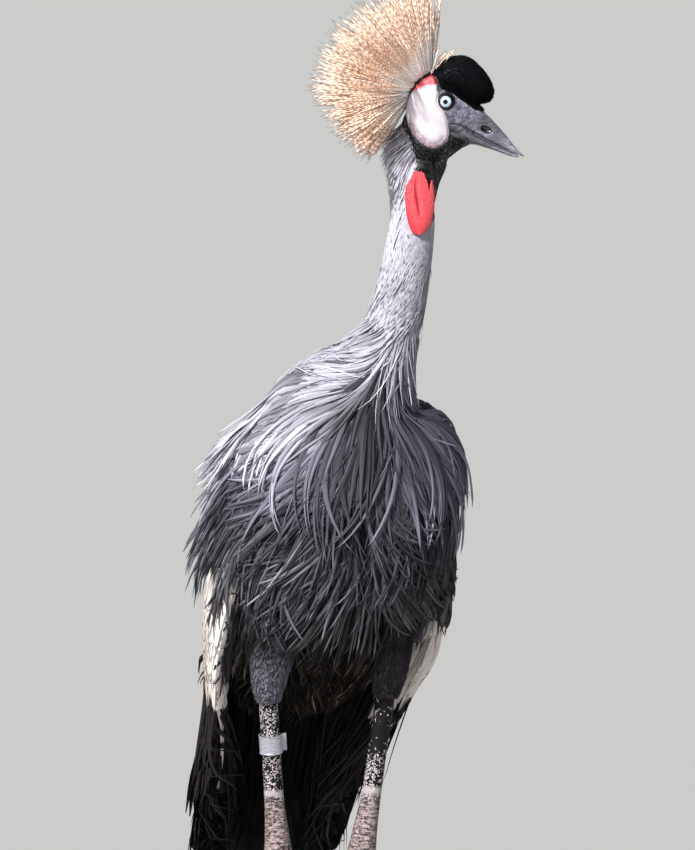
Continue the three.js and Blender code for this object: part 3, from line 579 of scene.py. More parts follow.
class Look:
    """A material in the making, with short ways to add nodes to its tree and to feed its shader."""

    def __init__(self, name, **settings):
        self.material = bpy.data.materials.new(name)
        self.material.use_nodes = True
        self.tree = self.material.node_tree
        self.shader = self.tree.nodes["Principled BSDF"]
        for socket, value in settings.items():
            self.shader.inputs[socket.replace("_", " ")].default_value = value

    def add(self, kind, **inputs):
        """The outputs of a new node, whose inputs get values or links, and its settings those of set_..."""
        node = self.tree.nodes.new("ShaderNode" + kind)
        for key in [key for key in inputs if key.startswith("set_")]:
            setattr(node, key[4:], inputs.pop(key))
        for key, value in inputs.items():
            socket = node.inputs[int(key[1:]) if key[1:].isdigit() else key]
            if isinstance(value, bpy.types.NodeSocket):
                self.tree.links.new(value, socket)
            else:
                socket.default_value = value
        return node.outputs

    def feed(self, socket, value):
        self.tree.links.new(value, self.shader.inputs[socket])

    def place(self):
        return self.add("TexCoord")["Object"]

    def attribute(self, name, output="Fac"):
        return self.add("Attribute", set_attribute_name=name)[output]

    def tint(self):
        return self.attribute("tint", "Color")

    def noise(self, where, scale, detail, output="Fac"):
        return self.add("TexNoise", Vector=where, Scale=scale, Detail=detail)[output]

    def cells(self, where, scale, output="Distance", **settings):
        return self.add("TexVoronoi", Vector=where, Scale=scale, **settings)[output]

    def maths(self, kind, a, b=0.0, c=0.0):
        return self.add("Math", set_operation=kind, i0=a, i1=b, i2=c)[0]

    def plus(self, a, b):
        return self.maths("ADD", a, b)

    def minus(self, a, b):
        return self.maths("SUBTRACT", a, b)

    def times(self, a, b):
        return self.maths("MULTIPLY", a, b)

    def line(self, value, slope, start):
        """start + slope * value"""
        return self.maths("MULTIPLY_ADD", value, slope, start)

    def vectors(self, kind, a, b=(0.0, 0.0, 0.0)):
        return self.add("VectorMath", set_operation=kind, i0=a, i1=b)[0]

    def scaled(self, colour, factor):
        return self.add("VectorMath", set_operation="SCALE", i0=colour, Scale=factor)[0]

    def stretched(self, where, scale):
        return self.add("Mapping", Vector=where, Scale=scale)[0]

    def span(self, value, start, stop, low=0.0, high=1.0):
        """From low to high while a value goes from start to stop, and level before and after."""
        return self.add("MapRange", Value=value, i1=start, i2=stop, i3=low, i4=high)[0]

    def ramp(self, value, *stops):
        node = self.tree.nodes.new("ShaderNodeValToRGB")
        self.tree.links.new(value, node.inputs["Fac"])
        points = node.color_ramp.elements
        while len(points) < len(stops):
            points.new(0.5)
        for point, (place, colour) in zip(points, stops):
            point.position = place
            point.color = (*colour, 1)
        return node.outputs["Color"]

    def blend(self, factor, a, b):
        """The first colour turned into the second by a factor. Each is a link or three numbers."""
        a, b = (c if isinstance(c, bpy.types.NodeSocket) else (*c, 1) for c in (a, b))
        return self.add("Mix", set_data_type="RGBA", Factor=factor, A=a, B=b)["Result"]

    def bump(self, height, strength, distance, **normal):
        return self.add("Bump", Height=height, Strength=strength, Distance=distance, **normal)[0]


def feather_look(name, streak, edge, roughness, barbs, gloss, soft):
    """Tinted blades with streaks along them, edges painted lighter as highlights, and fine barbs off a shaft.
    The share `soft` of their light is that of the coat they lie in."""
    look = Look(name, Roughness=roughness, Specular_IOR_Level=gloss)
    across, along, strand = (look.attribute(key) for key in ("across", "along", "strand"))
    off = look.maths("ABSOLUTE", across)
    where = look.add("CombineXYZ", X=look.times(across, 1.7), Y=look.times(along, 1.6),
                     Z=look.times(strand, 900.0))[0]
    fibres = look.noise(where, 1.4, 3.0)
    shade = look.line(fibres, 2 * streak, 1 - streak)
    # Painted highlight: each blade's edges are tinted lighter by `edge`.
    rim = look.line(look.maths("POWER", off, 3.0), edge, 1.0)
    look.feed("Base Color", look.scaled(look.tint(), look.times(shade, rim)))
    own = look.scaled(look.add("NewGeometry")["Normal"], 1 - soft)
    shared = look.scaled(look.attribute("lie", "Vector"), soft)
    facing = look.vectors("NORMALIZE", look.vectors("ADD", own, shared))
    lines = look.maths("SINE", look.times(look.minus(look.times(along, 60.0), off), 6.0))
    barbed = look.bump(lines, barbs, 0.0002, Normal=facing)
    look.feed("Normal", look.bump(fibres, streak, 0.002, Normal=barbed))
    return look.material


FEATHER = feather_look("plumage", streak=0.75, edge=0.3, roughness=0.85, barbs=0.35, gloss=0.12, soft=0.25)
SOFT = feather_look("short_plumage", streak=0.22, edge=0.1, roughness=0.9, barbs=0.0, gloss=0.05, soft=0.9)
STIFF = feather_look("quills", streak=0.25, edge=0.12, roughness=0.6, barbs=0.4, gloss=0.2, soft=0.4)
PLUSH = feather_look("velvet", streak=0.3, edge=0.0, roughness=1.0, barbs=0.0, gloss=0.05, soft=0.5)


def bristle_look():
    """Stiff twisted bristles: bright and brown dashes go round and along them, strongest far out, painted
    highlight and shade of the twist.
    """
    look = Look("bristles", Roughness=0.55, Specular_IOR_Level=0.3)
    along = look.attribute("along")
    turn = look.plus(look.times(along, 84.0), look.times(look.attribute("strand"), 4000.0))
    turn = look.plus(turn, look.times(look.attribute("across"), 1.2))
    # Painted highlight and shade: the bands stand for the light and dark that the twist catches.
    dashes = look.line(look.maths("SINE", turn), look.span(along, 0.15, 0.6, 0.03, 0.42), 1.0)
    look.feed("Base Color", look.scaled(look.tint(), dashes))
    return look.material


BRISTLE = bristle_look()


# The skin: head, neck, trunk, wing cores and thighs in one, inside the plumage


def between(a, b, share):
    return a + (b - a) * share


def legs_of(side):
    """The forms of the thigh and of the leg below it, on one side."""
    x, y, z = ANKLE
    foot_x, foot_y = FOOT
    thigh = [
        [52, -34, 462, 27, 29],
        [57, -26, 436, 22, 25],
        [60.5, -16, 408, 18, 20],
        [61, -10, 388, 14.5, 16],
        [HIP_HALF, -6, SHANK_TOP, 10.4, 10.8],
    ]
    shank = [
        [HIP_HALF, -6, SHANK_TOP, SHANK_RADIUS, SHANK_RADIUS],
        [between(HIP_HALF, x, 0.3), 1, 322, SHANK_RADIUS, SHANK_RADIUS],
        [between(HIP_HALF, x, 0.6), 8, 270, SHANK_RADIUS * 1.05, SHANK_RADIUS * 1.1],
        [between(HIP_HALF, x, 0.85), 13, 236, 12, 13],
        [x, y, z, 14.4, 15.4],
        [between(x, foot_x, 0.15), 16, 184, 11.6, 13],
        [between(x, foot_x, 0.4), 10, 150, 8.6, 9.4],
        [between(x, foot_x, 0.7), 3, 90, 8, 8.8],
        [foot_x, foot_y, 34, 8.6, 9.4],
        [foot_x, foot_y, 16, 11, 11.5],
        [foot_x, foot_y, -1, 9.5, 10],
    ]
    return [Form([[side * row[0], *row[1:]] for row in rows]) for rows in (thigh, shank)]


def apply_modifiers(piece):
    """Gives the piece the mesh that its modifiers make."""
    graph = bpy.context.evaluated_depsgraph_get()
    mesh = bpy.data.meshes.new_from_object(piece.evaluated_get(graph))
    piece.modifiers.clear()
    piece.data = mesh


def joined(name, pieces):
    with bpy.context.temp_override(active_object=pieces[0], selected_editable_objects=pieces):
        bpy.ops.object.join()
    pieces[0].name = name
    return pieces[0]


def body_points(mesh):
    """The mesh's points in the body frame, in mm."""
    values = np.zeros(len(mesh.vertices) * 3, np.float32)
    mesh.vertices.foreach_get("co", values)
    return (values.reshape(-1, 3).astype(float) * 1000 - SHIFT) @ BODY


def body_normals(mesh):
    values = np.zeros(len(mesh.vertices) * 3, np.float32)
    mesh.vertex_normals.foreach_get("vector", values)
    return values.reshape(-1, 3).astype(float) @ BODY


def mesh_edges(mesh):
    values = np.zeros(len(mesh.edges) * 2, np.int32)
    mesh.edges.foreach_get("vertices", values)
    return values.reshape(-1, 2)


def relax(points, edges, rounds):
    """Evens a mesh out: in each round its points go half way to their neighbours' middle."""
    degree = np.bincount(edges.ravel(), minlength=len(points))[:, None]
    for _ in range(rounds):
        total = np.zeros_like(points)
        for k in range(3):
            total[:, k] = np.bincount(edges[:, 0], points[edges[:, 1], k], len(points))
            total[:, k] += np.bincount(edges[:, 1], points[edges[:, 0], k], len(points))
        points = 0.5 * points + 0.5 * total / np.maximum(degree, 1)
    return points


def edge_distance(start, end, y, z):
    """Distance from (y, z) to the straight edge between two points."""
    (y0, z0), (y1, z1) = start, end
    dy, dz = y1 - y0, z1 - z0
    share = np.clip(((y - y0) * dy + (z - z0) * dz) / (dy * dy + dz * dz), 0, 1)
    return np.hypot(y - y0 - share * dy, z - z0 - share * dz)


def outline_distance(outline, y, z):
    """Distance to an outline in the head's side view, positive inside it."""
    inside = np.zeros(y.shape, bool)
    after = np.roll(outline, -1, 0)
    for (y0, z0), (y1, z1) in zip(outline, after):
        inside ^= ((z0 > z) != (z1 > z)) & (y < (y1 - y0) * (z - z0) / (z1 - z0 + 1e-12) + y0)
    nearest = np.min([edge_distance(a, b, y, z) for a, b in zip(outline, after)], axis=0)
    return np.where(inside, nearest, -nearest)


def rounded(outline):
    """An outline with its corners cut three times, so that it runs in soft curves."""
    for _ in range(3):
        after = np.roll(outline, -1, 0)
        outline = np.stack([outline * 0.75 + after * 0.25, outline * 0.25 + after * 0.75], 1).reshape(-1, 2)
    return outline


# The root of the bill and the chin, which the skin spans between the horn and the skull and throat
MUZZLE = Form([
    [0, -34.0, -13, 9.0, 17.2, 8],
    [0, -30, -12.8, 10.6, 18.2, 12],
    [0, -24, -12.4, 12.0, 19.2, 15],
    [0, -15, -11, 14.5, 21, 20],
    [0, -4, -10, 16.5, 23, 24],
])
CHIN = Form([
    [0, -35, -24.5, 9.1, 7, 7.6],
    [0, -31, -26, 10.0, 9, 9.0],
    [0, -24, -30, 12.0, 11, 11.5],
    [0, -14, -36, 14.5, 14, 18],
    [0, -2, -44, 17, 16, 24],
    [0, 3, -56, 18, 16, 27.6],
    [0, 2, -68, 18, 16, 26.8],
    [0, 0, -84, 18, 16, 24.6],
    [0, -3, -100, 18, 16, 22.5],
])
CHEEK_SMOOTH = rounded(CHEEK)
LID_OPENING = 5.8
LID_OUTER = 9.0
LID_HEIGHT = 2.7
GAPE_LINE = np.array([(-12, -19.5), (-15.3, -17.6), (-21.6, -16.2), (-29, -17.6), (-37, -18.7)])
LORE_RIDGE = np.array([(-8, 9), (-20.2, 3.9), (-30.4, 4.9)])


def line_distance(line, y, z):
    nearest = np.full(y.shape, 1e9)
    for (y0, z0), (y1, z1) in zip(line[:-1], line[1:]):
        dy, dz = y1 - y0, z1 - z0
        share = np.clip(((y - y0) * dy + (z - z0) * dz) / (dy * dy + dz * dz), 0, 1)
        nearest = np.minimum(nearest, np.hypot(y - y0 - share * dy, z - z0 - share * dz))
    return nearest


def above_red_line(y, z):
    order = np.argsort(RED_LINE[:, 0])
    return z - np.interp(y, RED_LINE[order, 0], RED_LINE[order, 1])


CAP_EDGE = np.array([(-41, 5), (-28, 2.6), (-17, 5.5), (-3.5, 9.1), (9, 9), (15, 15), (25, 23)])


def on_cap_local(points):
    """True on the black cushion, for points in the head frame."""
    y, z = points[:, 1], points[:, 2]
    return (z > np.interp(y, CAP_EDGE[:, 0], CAP_EDGE[:, 1])) & (y < 24)


def grey_boundary(z):
    """Where the black of the throat gives way to the nape's grey, as y for a height in the head frame."""
    return np.interp(z, [-104, -90, -73, -57, -41, -28, -10, 5], [-16, -9, -1, 8, 24, 34, 38, 40])


def shape_head(points, normals):
    """Raises the cheeks and lids and cuts the mouth's line; points and normals in the head frame."""
    y, z = points.T[1:]
    sideways = smooth(0.2, 0.6, np.abs(normals[:, 0]))
    inside = outline_distance(CHEEK_SMOOTH, y, z)
    rise = CHEEK_RISE * smooth(-0.3, 3.2, inside) * sideways
    fold = np.exp(-((inside - 5.5) / 1.4) ** 2) * smooth(-30, -40, z)
    rise -= 0.9 * fold * sideways
    away = np.hypot(y, z)
    rise *= smooth(LID_OUTER - 1.5, LID_OUTER, away)
    lid = LID_HEIGHT * smooth(LID_OUTER, LID_OPENING, away) * sideways
    crease = 0.35 * np.exp(-((away - 8.6) / 0.5) ** 2)
    gape = 1.0 * np.exp(-(line_distance(GAPE_LINE, y, z) / 0.9) ** 2) * sideways
    brow = 0.8 * np.exp(-(((y + 6) / 14) ** 2 + ((z - 9) / 2.5) ** 2)) * sideways
    points = points + normals * (rise + lid + brow - crease * sideways - gape)[:, None]
    # The lids' edge is drawn to a clean circle, and what lies inside it goes behind the eye.
    edge = (np.abs(away - LID_OPENING) < 0.5) & (np.abs(points[:, 0]) > 10)
    stretch = np.where(edge, LID_OPENING / np.maximum(away, 1e-6), 1.0)
    points[:, 1] *= stretch
    points[:, 2] *= stretch
    hidden = (away < LID_OPENING - 0.5) & (np.abs(points[:, 0]) > 10)
    points[hidden, 0] = np.sign(points[hidden, 0]) * (EYE_X - 1)
    return points


def head_colour(points, rng):
    """The markings of the head and throat, and painted shade in the cheek's fold, for points in the head
    frame.
    """
    x, y, z = points.T
    speckle = rng.uniform(-1, 1, len(points))
    colour = np.tile(rgb(100, 99, 112), (len(points), 1))
    patch = np.sin(y * 0.7 + 2 * np.sin(z * 0.4)) * np.sin(z * 0.9 + y * 0.3) + 0.5 * speckle
    colour = colour * (1 + 0.16 * patch)[:, None]
    ridge = np.exp(-(line_distance(LORE_RIDGE, y, z) / 3.0) ** 2)
    colour = mix(colour, rgb(136, 135, 150), ridge * 0.8)
    below = smooth(-18.5, -25, z)
    colour = mix(colour, rgb(34, 34, 37), below)
    colour = mix(colour, rgb(18, 18, 20), np.exp(-(line_distance(GAPE_LINE, y, z) / 1.0) ** 2))
    over_mouth = line_distance(GAPE_LINE + [0, 2.4], y, z)
    colour = mix(colour, rgb(92, 92, 97), 0.5 * np.exp(-(over_mouth / 1.3) ** 2))
    near_eye = smooth(LID_OUTER + 0.6, LID_OUTER - 0.8, np.hypot(y, z))
    colour = mix(colour, rgb(14, 14, 16), near_eye)
    throat = smooth(-30, -38, z) * (y > -32)
    colour = mix(colour, VELVET * 1.5, throat)
    front = smooth(-16, -23, y) * smooth(-34, -44, z)
    colour = mix(colour, rgb(74, 73, 77), front * 0.8)
    colour = mix(colour, VELVET, on_cap_local(points))
    back = smooth(7, 11, y) * smooth(-32, -27, z)
    colour = mix(colour, VELVET, back)
    grey = smooth(-1, 3, y - grey_boundary(z)) * smooth(0, -8, z)
    colour = mix(colour, PALE_GREY * 0.8, grey)
    inside = outline_distance(CHEEK_SMOOTH, y, z)
    white = smooth(-0.25, 0.35, inside) * (np.abs(x) > 6)
    cheek = np.tile(rgb(208, 202, 208), (len(points), 1))
    # Painted shade: the cheek's bottom, where it folds under, is tinted a darker pinkish grey.
    cheek = mix(cheek, rgb(130, 108, 120), smooth(12, 1, inside) * smooth(-26, -36, z) * 0.95)
    cheek = mix(cheek, rgb(196, 170, 178), smooth(3, 0.5, inside) * 0.4)
    red = smooth(-0.5, 0.6, above_red_line(y, z) + 0.25 * speckle)
    cheek = mix(cheek, rgb(222, 84, 92), red)
    return mix(colour, cheek, white)


HEAD_VOXEL = 0.00075
# The velvet's depth, and the cushion's middle and half length, along y
CAP_COAT, CAP_MIDDLE, CAP_HALF = 3.9, -7.5, 33.2


def cap_core():
    """The cushion's form drawn in by the velvet's depth, at its ends as well."""
    points = CAP.rings(50, 64, grow=-CAP_COAT)
    points[..., 1] = CAP_MIDDLE + (points[..., 1] - CAP_MIDDLE) * (1 - CAP_COAT / CAP_HALF)
    return points


def join_to(piece, other):
    """Joins another closed mesh to the piece and deletes it."""
    cut = piece.modifiers.new("join", "BOOLEAN")
    cut.operation = "UNION"
    cut.solver = "MANIFOLD"
    cut.object = other
    apply_modifiers(piece)
    bpy.data.objects.remove(other)


def on_cheek_side(local, start, stop):
    """From 0 to 1 between two distances inside the cheek's outline, and 0 along the head's middle."""
    inside = outline_distance(CHEEK_SMOOTH, local[:, 1], local[:, 2])
    return smooth(start, stop, inside) * smooth(5, 8, np.abs(local[:, 0]))


def skin_colour(body, rng):
    """The skin's colours for points in the body frame: painted dark under the plumage as the shade between
    the feathers, and the head's markings.
    """
    local = to_head(body)
    # Painted shade: below the neck the skin takes the plumage's colour at less than half its brightness.
    colour = body_tint(body) * np.interp(body[:, 2], [700, 760], [0.4, 0.9])[:, None]
    across, out, ahead, wide, reach, _ = wing_place(body)
    on_wing = (np.hypot(across / reach, out / wide) < 1.02) & (np.abs(ahead) < 25) & (body[:, 2] < WING_TOP)
    # Painted shade: the wing core is cream on its outer side and black on the side that faces the body, which
    # lies in shade.
    wing = mix(np.tile(BLACK, (len(body), 1)), CREAM * 0.7, smooth(-0.5, 0.1, out / wide))
    colour = mix(colour, wing, on_wing)
    on_head = smooth(-118, -108, local[:, 2]) * (np.linalg.norm(local, axis=1) < 125)
    return mix(colour, head_colour(local, rng), on_head)


def build_skin():
    rng = np.random.default_rng(5)
    head = joined("skin", [
        loft("skull", from_head(SKULL.rings(60, 64))),
        loft("throat", from_head(THROAT.rings(60, 64, grow=-1.2))),
        loft("muzzle", from_head(MUZZLE.rings(40, 64))),
        loft("chin", from_head(CHIN.rings(40, 64, grow=-0.3))),
        loft("cap_core", from_head(cap_core())),
    ])
    remesh = head.modifiers.new("remesh", "REMESH")
    remesh.mode = "VOXEL"
    remesh.voxel_size = HEAD_VOXEL
    apply_modifiers(head)
    mesh, edges = head.data, mesh_edges(head.data)
    local = relax(to_head(body_points(mesh)), edges, 14)
    local = mix(local, relax(local, edges, 110), on_cheek_side(local, -2.5, 0.5))
    put_points(mesh, from_head(local))
    local = shape_head(local, body_normals(mesh) @ HEAD)
    # The cheek is evened out again, apart from its edge and the lids.
    off_lids = smooth(LID_OUTER, LID_OUTER + 3, np.hypot(local[:, 1], local[:, 2]))
    inner = on_cheek_side(local, 1.8, 4.0) * off_lids
    put_points(mesh, from_head(mix(local, relax(local, edges, 60), inner)))
    join_to(head, loft("trunk_core", TRUNK.rings(90, 56, grow=-3.5)))
    for side in (1, -1):
        join_to(head, loft("thigh_core", legs_of(side)[0].rings(24, 28, grow=-2.5)))
    for side in (1, -1):
        join_to(head, loft("wing_core", mirrored(WING.rings(40, 28), side)))
    mesh = head.data
    write_values(mesh, {"tint": skin_colour(body_points(mesh), rng)})
    mesh.polygons.foreach_set("use_smooth", np.ones(len(mesh.polygons), bool))
    return head


def put_points(mesh, body_points):
    mesh.vertices.foreach_set("co", world(body_points).astype(np.float32).ravel())
    mesh.update()


def mirrored(points, side):
    """Points of the left side, carried over where the side is the right one, -1."""
    return points * np.array([side, 1, 1])


def body_tint(points):
    """The plumage's colour at a place in the body frame, with painted shade on the bird's left breast, before
    each feather's own variation.
    """
    x, y, z = points.T
    pale_edge = np.interp(x, [-120, -60, -25, -5, 10, 44], [612, 630, 656, 672, 688, 712])
    colour = mix(PALE_GREY * 0.88, BLUE_GREY * 1.15, smooth(26, -30, z - pale_edge))
    colour = mix(colour, SLATE, smooth(600, 560, z + 0.15 * x))
    colour = mix(colour, DARK_SLATE, smooth(545, 485, z))
    centre = np.exp(-((x + 2) / 26) ** 2) * smooth(712, 672, z) * smooth(540, 600, z)
    colour = mix(colour, DARK_SLATE, centre * 0.9)
    # Painted shade: the bird's left breast, the side away from the key light, is tinted darker.
    painted_shade_left = smooth(10, 60, x) * smooth(600, 570, z) * smooth(440, 520, z)
    colour = mix(colour, DARK_SLATE * 0.6, painted_shade_left * 0.8)
    middle = smooth(88, 52, np.abs(x)) * smooth(110, 60, y)
    colour = mix(colour, BELLY, smooth(500, 445, z) * middle)
    return colour


def skin_look():
    look = Look("bare_skin", Roughness=0.5, Specular_IOR_Level=0.45, Subsurface_Weight=0.05,
                Subsurface_Scale=0.004)
    tint, place = look.tint(), look.place()
    # Dark skin is blotched and lit along its folds, and the white cheek is almost even.
    both = look.times(look.noise(place, 260.0, 4.0), 0.7)
    both = look.plus(both, look.times(look.cells(place, 640.0), 0.3))
    strength = look.span(look.add("RGBToBW", Color=tint)[0], 0.12, 0.5, 5.0, 0.15)
    shade = look.plus(1.0, look.times(look.minus(both, 0.5), strength))
    look.feed("Base Color", look.scaled(tint, look.maths("MAXIMUM", shade, 0.2)))
    height = look.plus(look.times(look.cells(place, 1500.0), 0.3), look.noise(place, 420.0, 6.0))
    look.feed("Normal", look.bump(height, 0.35, 0.0006))
    return look.material


SKIN = build_skin()
FLESH = "head", "cheek_left", "cheek_right", "neck", "torso", "thigh_left", "thigh_right"
dress(SKIN, skin_look(), "face", *FLESH)


# Places on the skin for the short feathers of the head and neck


def skin_places():
    """A tree of the skin's points, the points in mm and the way out of the skin at each, smoothed."""
    points = body_points(SKIN.data)
    return tree_of(points), points, unit(relax(body_normals(SKIN.data), mesh_edges(SKIN.data), 16))


SKIN_PLACES = skin_places()
NEAREST = 6


def laid_on_skin(path):
    """The skin under each point of `path` (n, rings, 3), and the way out of it there, smoothed."""
    tree, points, normals = SKIN_PLACES
    flat = path.reshape(-1, 3)
    near = np.array([[hit[1] for hit in tree.find_n(Vector(p), NEAREST)] for p in flat])
    out = unit(normals[near].sum(1))
    middle = points[near].mean(1)
    over = np.einsum("ij,ij->i", flat - middle, out)
    return (flat - out * over[:, None]).reshape(path.shape), out.reshape(path.shape)


def sample_skin(count, keep, rng):
    """Random places on the skin where `keep` says so for points, with their normals, in mm."""
    mesh = SKIN.data
    mesh.calc_loop_triangles()
    corners = np.zeros(len(mesh.loop_triangles) * 3, np.int32)
    mesh.loop_triangles.foreach_get("vertices", corners)
    corners = corners.reshape(-1, 3)
    points, normals = body_points(mesh), body_normals(mesh)
    a, b, c = (points[corners[:, k]] for k in range(3))
    area = np.linalg.norm(np.cross(b - a, c - a), axis=1) / 2 * keep((a + b + c) / 3)
    chosen = rng.choice(len(area), count, p=area / area.sum())
    u, v = rng.uniform(0, 1, (2, count))
    flip = u + v > 1
    u, v = np.where(flip, 1 - u, u), np.where(flip, 1 - v, v)
    weights = np.stack([1 - u - v, u, v], 1)[..., None]
    picked = corners[chosen]
    return (points[picked] * weights).sum(1), unit((normals[picked] * weights).sum(1))


def head_chart(points):
    """An unwrap of the head's and neck's own shape: the angle round them against the height."""
    local = to_head(points)
    u = np.arctan2(local[:, 0], local[:, 1] + 5) / (2 * np.pi) + 0.5
    v = np.clip((local[:, 2] + 130) / 180, 0, 1)
    return np.stack([u, v], 1)


def tufts(name, roots, normals, way, length, width, lift, tint, sunk, thick):
    """Short blades on the skin. Each leaves it at its root and follows it along `way`, and its tip stands
    off it by `lift`."""
    count, rings = tint.shape[:2]
    way = unit(way - normals * np.einsum("ij,ij->i", way, normals)[:, None])
    s = np.linspace(0, 1, rings)[None, :, None]
    length, lift = (np.broadcast_to(value, count)[:, None, None] for value in (length, lift))
    path, up = laid_on_skin(roots[:, None] + way[:, None] * length * s)
    path = path + up * (lift * s - sunk * (1 - s) ** 2)
    half = np.broadcast_to(width, count)[:, None] / 2 * taper(rings, 0.7, 0.35, 0.2)[None]
    return blades(name, path, up, half, thick, tint, head_chart(roots))


def shades(base, count, rings, rng, spread, root, tip):
    """A tint for every blade and ring: the base colour with each blade's own brightness, times `root` at
    its root and `tip` at its tip. A root darker than the tip is painted shade, where the blades overlap."""
    own = np.exp(rng.normal(0, 1, (count, 1)) * spread).clip(0.4, 2.4)
    return (np.broadcast_to(base, (count, 3)) * own)[:, None] * np.linspace(root, tip, rings)[None, :, None]


def on_cap(points):
    """True on the black cushion, for points in the body frame."""
    return on_cap_local(to_head(points))


def cap_velvet():
    rng = np.random.default_rng(11)
    roots, normals = sample_skin(13000, lambda p: on_cap(p) * (to_head(p)[:, 2] > 2), rng)
    outward = unit(to_head(roots) - np.array([0, -6, 12])) @ HEAD.T
    way = outward + rng.normal(0, 0.5, roots.shape) + np.array([0, 0, 0.2]) - normals * 0.2
    tint = shades(VELVET * 1.3, len(roots), 3, rng, 0.3, 0.7, 1.5)
    lift = rng.uniform(2.4, 3.6, len(roots))
    dress(tufts("cap_velvet", roots, normals, way, 1.5, 1.0, lift, tint, 0.6, 0.45), PLUSH, "cap", "cap")


cap_velvet()


def in_cheek(points):
    y, z = to_head(points)[:, 1:].T
    return outline_distance(CHEEK_SMOOTH, y, z)


def throat_plush():
    """Short black feathers of the chin, the throat and the band behind the cheeks."""
    rng = np.random.default_rng(12)

    def keep(points):
        x, y, z = to_head(points).T
        off = in_cheek(points)
        black = (y < grey_boundary(z) + 3) & (z < -27) & (z > -108)
        band = (off < -0.4) & (off > -7) & (y > 6) & (z > -40)
        clear = (off < -0.5) | (np.abs(x) < 9)
        return (black | band) & clear & (np.hypot(y, z) > 12) & ~on_cap(points) & (y > -31)

    roots, normals = sample_skin(10000, keep, rng)
    _, y, z = to_head(roots).T
    way = np.array([0, -0.25, -1.0]) @ HEAD.T + rng.normal(0, 0.12, roots.shape)
    way = mix(way, np.array([0, 1.0, -0.3]) @ HEAD.T, smooth(5, 15, y) * smooth(-40, -20, z))
    front = smooth(-12, -21, y) * smooth(-34, -44, z)
    base = mix(np.tile(VELVET * 1.3, (len(roots), 1)), rgb(56, 55, 58), front * 0.8)
    # Painted glints: about a sixth of the feathers along the chin's front are tinted near white.
    base = mix(base, rgb(160, 158, 160), front * (rng.uniform(0, 1, len(roots)) < 0.16) * 0.8)
    tint = shades(base, len(roots), 3, rng, 0.2, 0.9, 1.05)
    length = rng.uniform(2.4, 3.6, len(roots)) + 3 * smooth(-50, -80, z)
    dress(tufts("throat_plush", roots, normals, way, length, 0.9, 0.3, tint, 0.6, 0.2), PLUSH, "face")


throat_plush()


# Neck and body plumage on the trunk's form


def neck_feathers():
    """Pale feathers from the nape down the neck, longer and swept to the bird's right at its base."""
    rng = np.random.default_rng(13)

    def keep(points):
        _, y, z = to_head(points).T
        nape = y > grey_boundary(z) - 1.0
        head = nape & (in_cheek(points) < -5) & (z < -2) & (z > -110) & (y > 0)
        return head | ((points[:, 2] > 700) & ((z < -70) & nape | (z < -104)))

    roots, normals = sample_skin(14000, keep, rng)
    order = np.argsort(-roots[:, 2])
    roots, normals = roots[order], normals[order]
    count = len(roots)
    _, y, z = to_head(roots).T
    low = smooth(870, 730, roots[:, 2])
    near_head = smooth(-70, -30, z)
    behind = smooth(4, 20, y) * smooth(-130, -40, z)
    # They follow the trunk's own way down the neck, found by height among its first rows.
    first_rows = TRUNK_ROWS[:8]
    place = np.interp(-roots[:, 2], [-row[2] for row in first_rows], np.arange(len(first_rows)) / TRUNK.rows)
    along = TRUNK.frame(place)[1]
    front = np.cross(along, normals)
    slant = np.tan(np.radians(8 + 22 * low)) * smooth(0.4, -0.6, normals[:, 1]) * -1
    swirl = 0.14 * np.sin(roots[:, 2] / 13 + roots[:, 0] / 9)
    way = along + front * (slant * np.sign(front[:, 0]) + swirl)[:, None] + rng.normal(0, 0.035, roots.shape)
    way = mix(way, np.array([0, 0.75, -1.0]) @ HEAD.T, near_head)
    length = (23 + 17 * low ** 1.5 + 8 * behind) * rng.uniform(0.8, 1.25, count)
    width = (2.4 + 0.7 * low) * rng.uniform(0.6, 1.3, count)
    # Painted shade: low on the neck, the feathers whose skin faces +x, away from the key light, are tinted
    # darker.
    base = mix(PALE_GREY * 0.8, rgb(160, 158, 170), low * smooth(0.2, 0.8, normals[:, 0]))
    base = mix(base, body_tint(roots) * 1.1, smooth(0.5, 0.95, low))
    edge = smooth(7, -1, y - grey_boundary(z)) * smooth(-104, -96, z)
    base = mix(base, rgb(110, 108, 116), edge * 0.7)
    # Painted light: feathers whose skin faces -x, towards the key light, are tinted lighter, and so are those
    # behind on the nape, against the crown's shadow.
    base = base * (1 + 0.35 * smooth(-0.4, -0.95, normals[:, 0]) + 0.3 * behind)[:, None]
    tint = shades(base, count, 5, rng, 0.05 + 0.08 * low[:, None], 0.94, 1.02)
    lift = 0.15 + 0.6 * low * rng.uniform(0.3, 1.7, count)
    lift = lift + behind * (rng.uniform(2.0, 7.0, count) + near_head * rng.uniform(3.0, 15.0, count))
    loose = rng.uniform(0, 1, count) < 0.002 + 0.01 * low ** 2
    lift = lift + loose * rng.uniform(2, 5, count)
    half = count // 2
    for part, rows in (("upper", slice(0, half)), ("lower", slice(half, count))):
        own = (values[rows] for values in (roots, normals, way, length, width, lift, tint))
        dress(tufts(f"neck_feathers_{part}", *own, 0.15, 0.1), SOFT, "neck_plumage")


neck_feathers()


def trunk_chart(t, angle):
    return np.stack([(angle / (2 * np.pi)) % 1.0, np.clip(t, 0, 1)], 1)


def join_sets(sets):
    return (np.concatenate(parts) for parts in zip(*sets))


def scatter(form, count, t_range, angle_range, rng):
    """Roots over a form, spread evenly by its area."""
    tries = count * 6
    t = rng.uniform(*t_range, tries)
    angle = rng.uniform(*angle_range, tries)
    small = 1e-3
    here = form.at(t, angle)
    steps = (form.at(t + small, angle) - here) / small, (form.at(t, angle + small) - here) / small
    area = np.linalg.norm(np.cross(*steps), axis=1)
    chosen = rng.choice(tries, count, replace=False, p=area / area.sum())
    return t[chosen], angle[chosen]


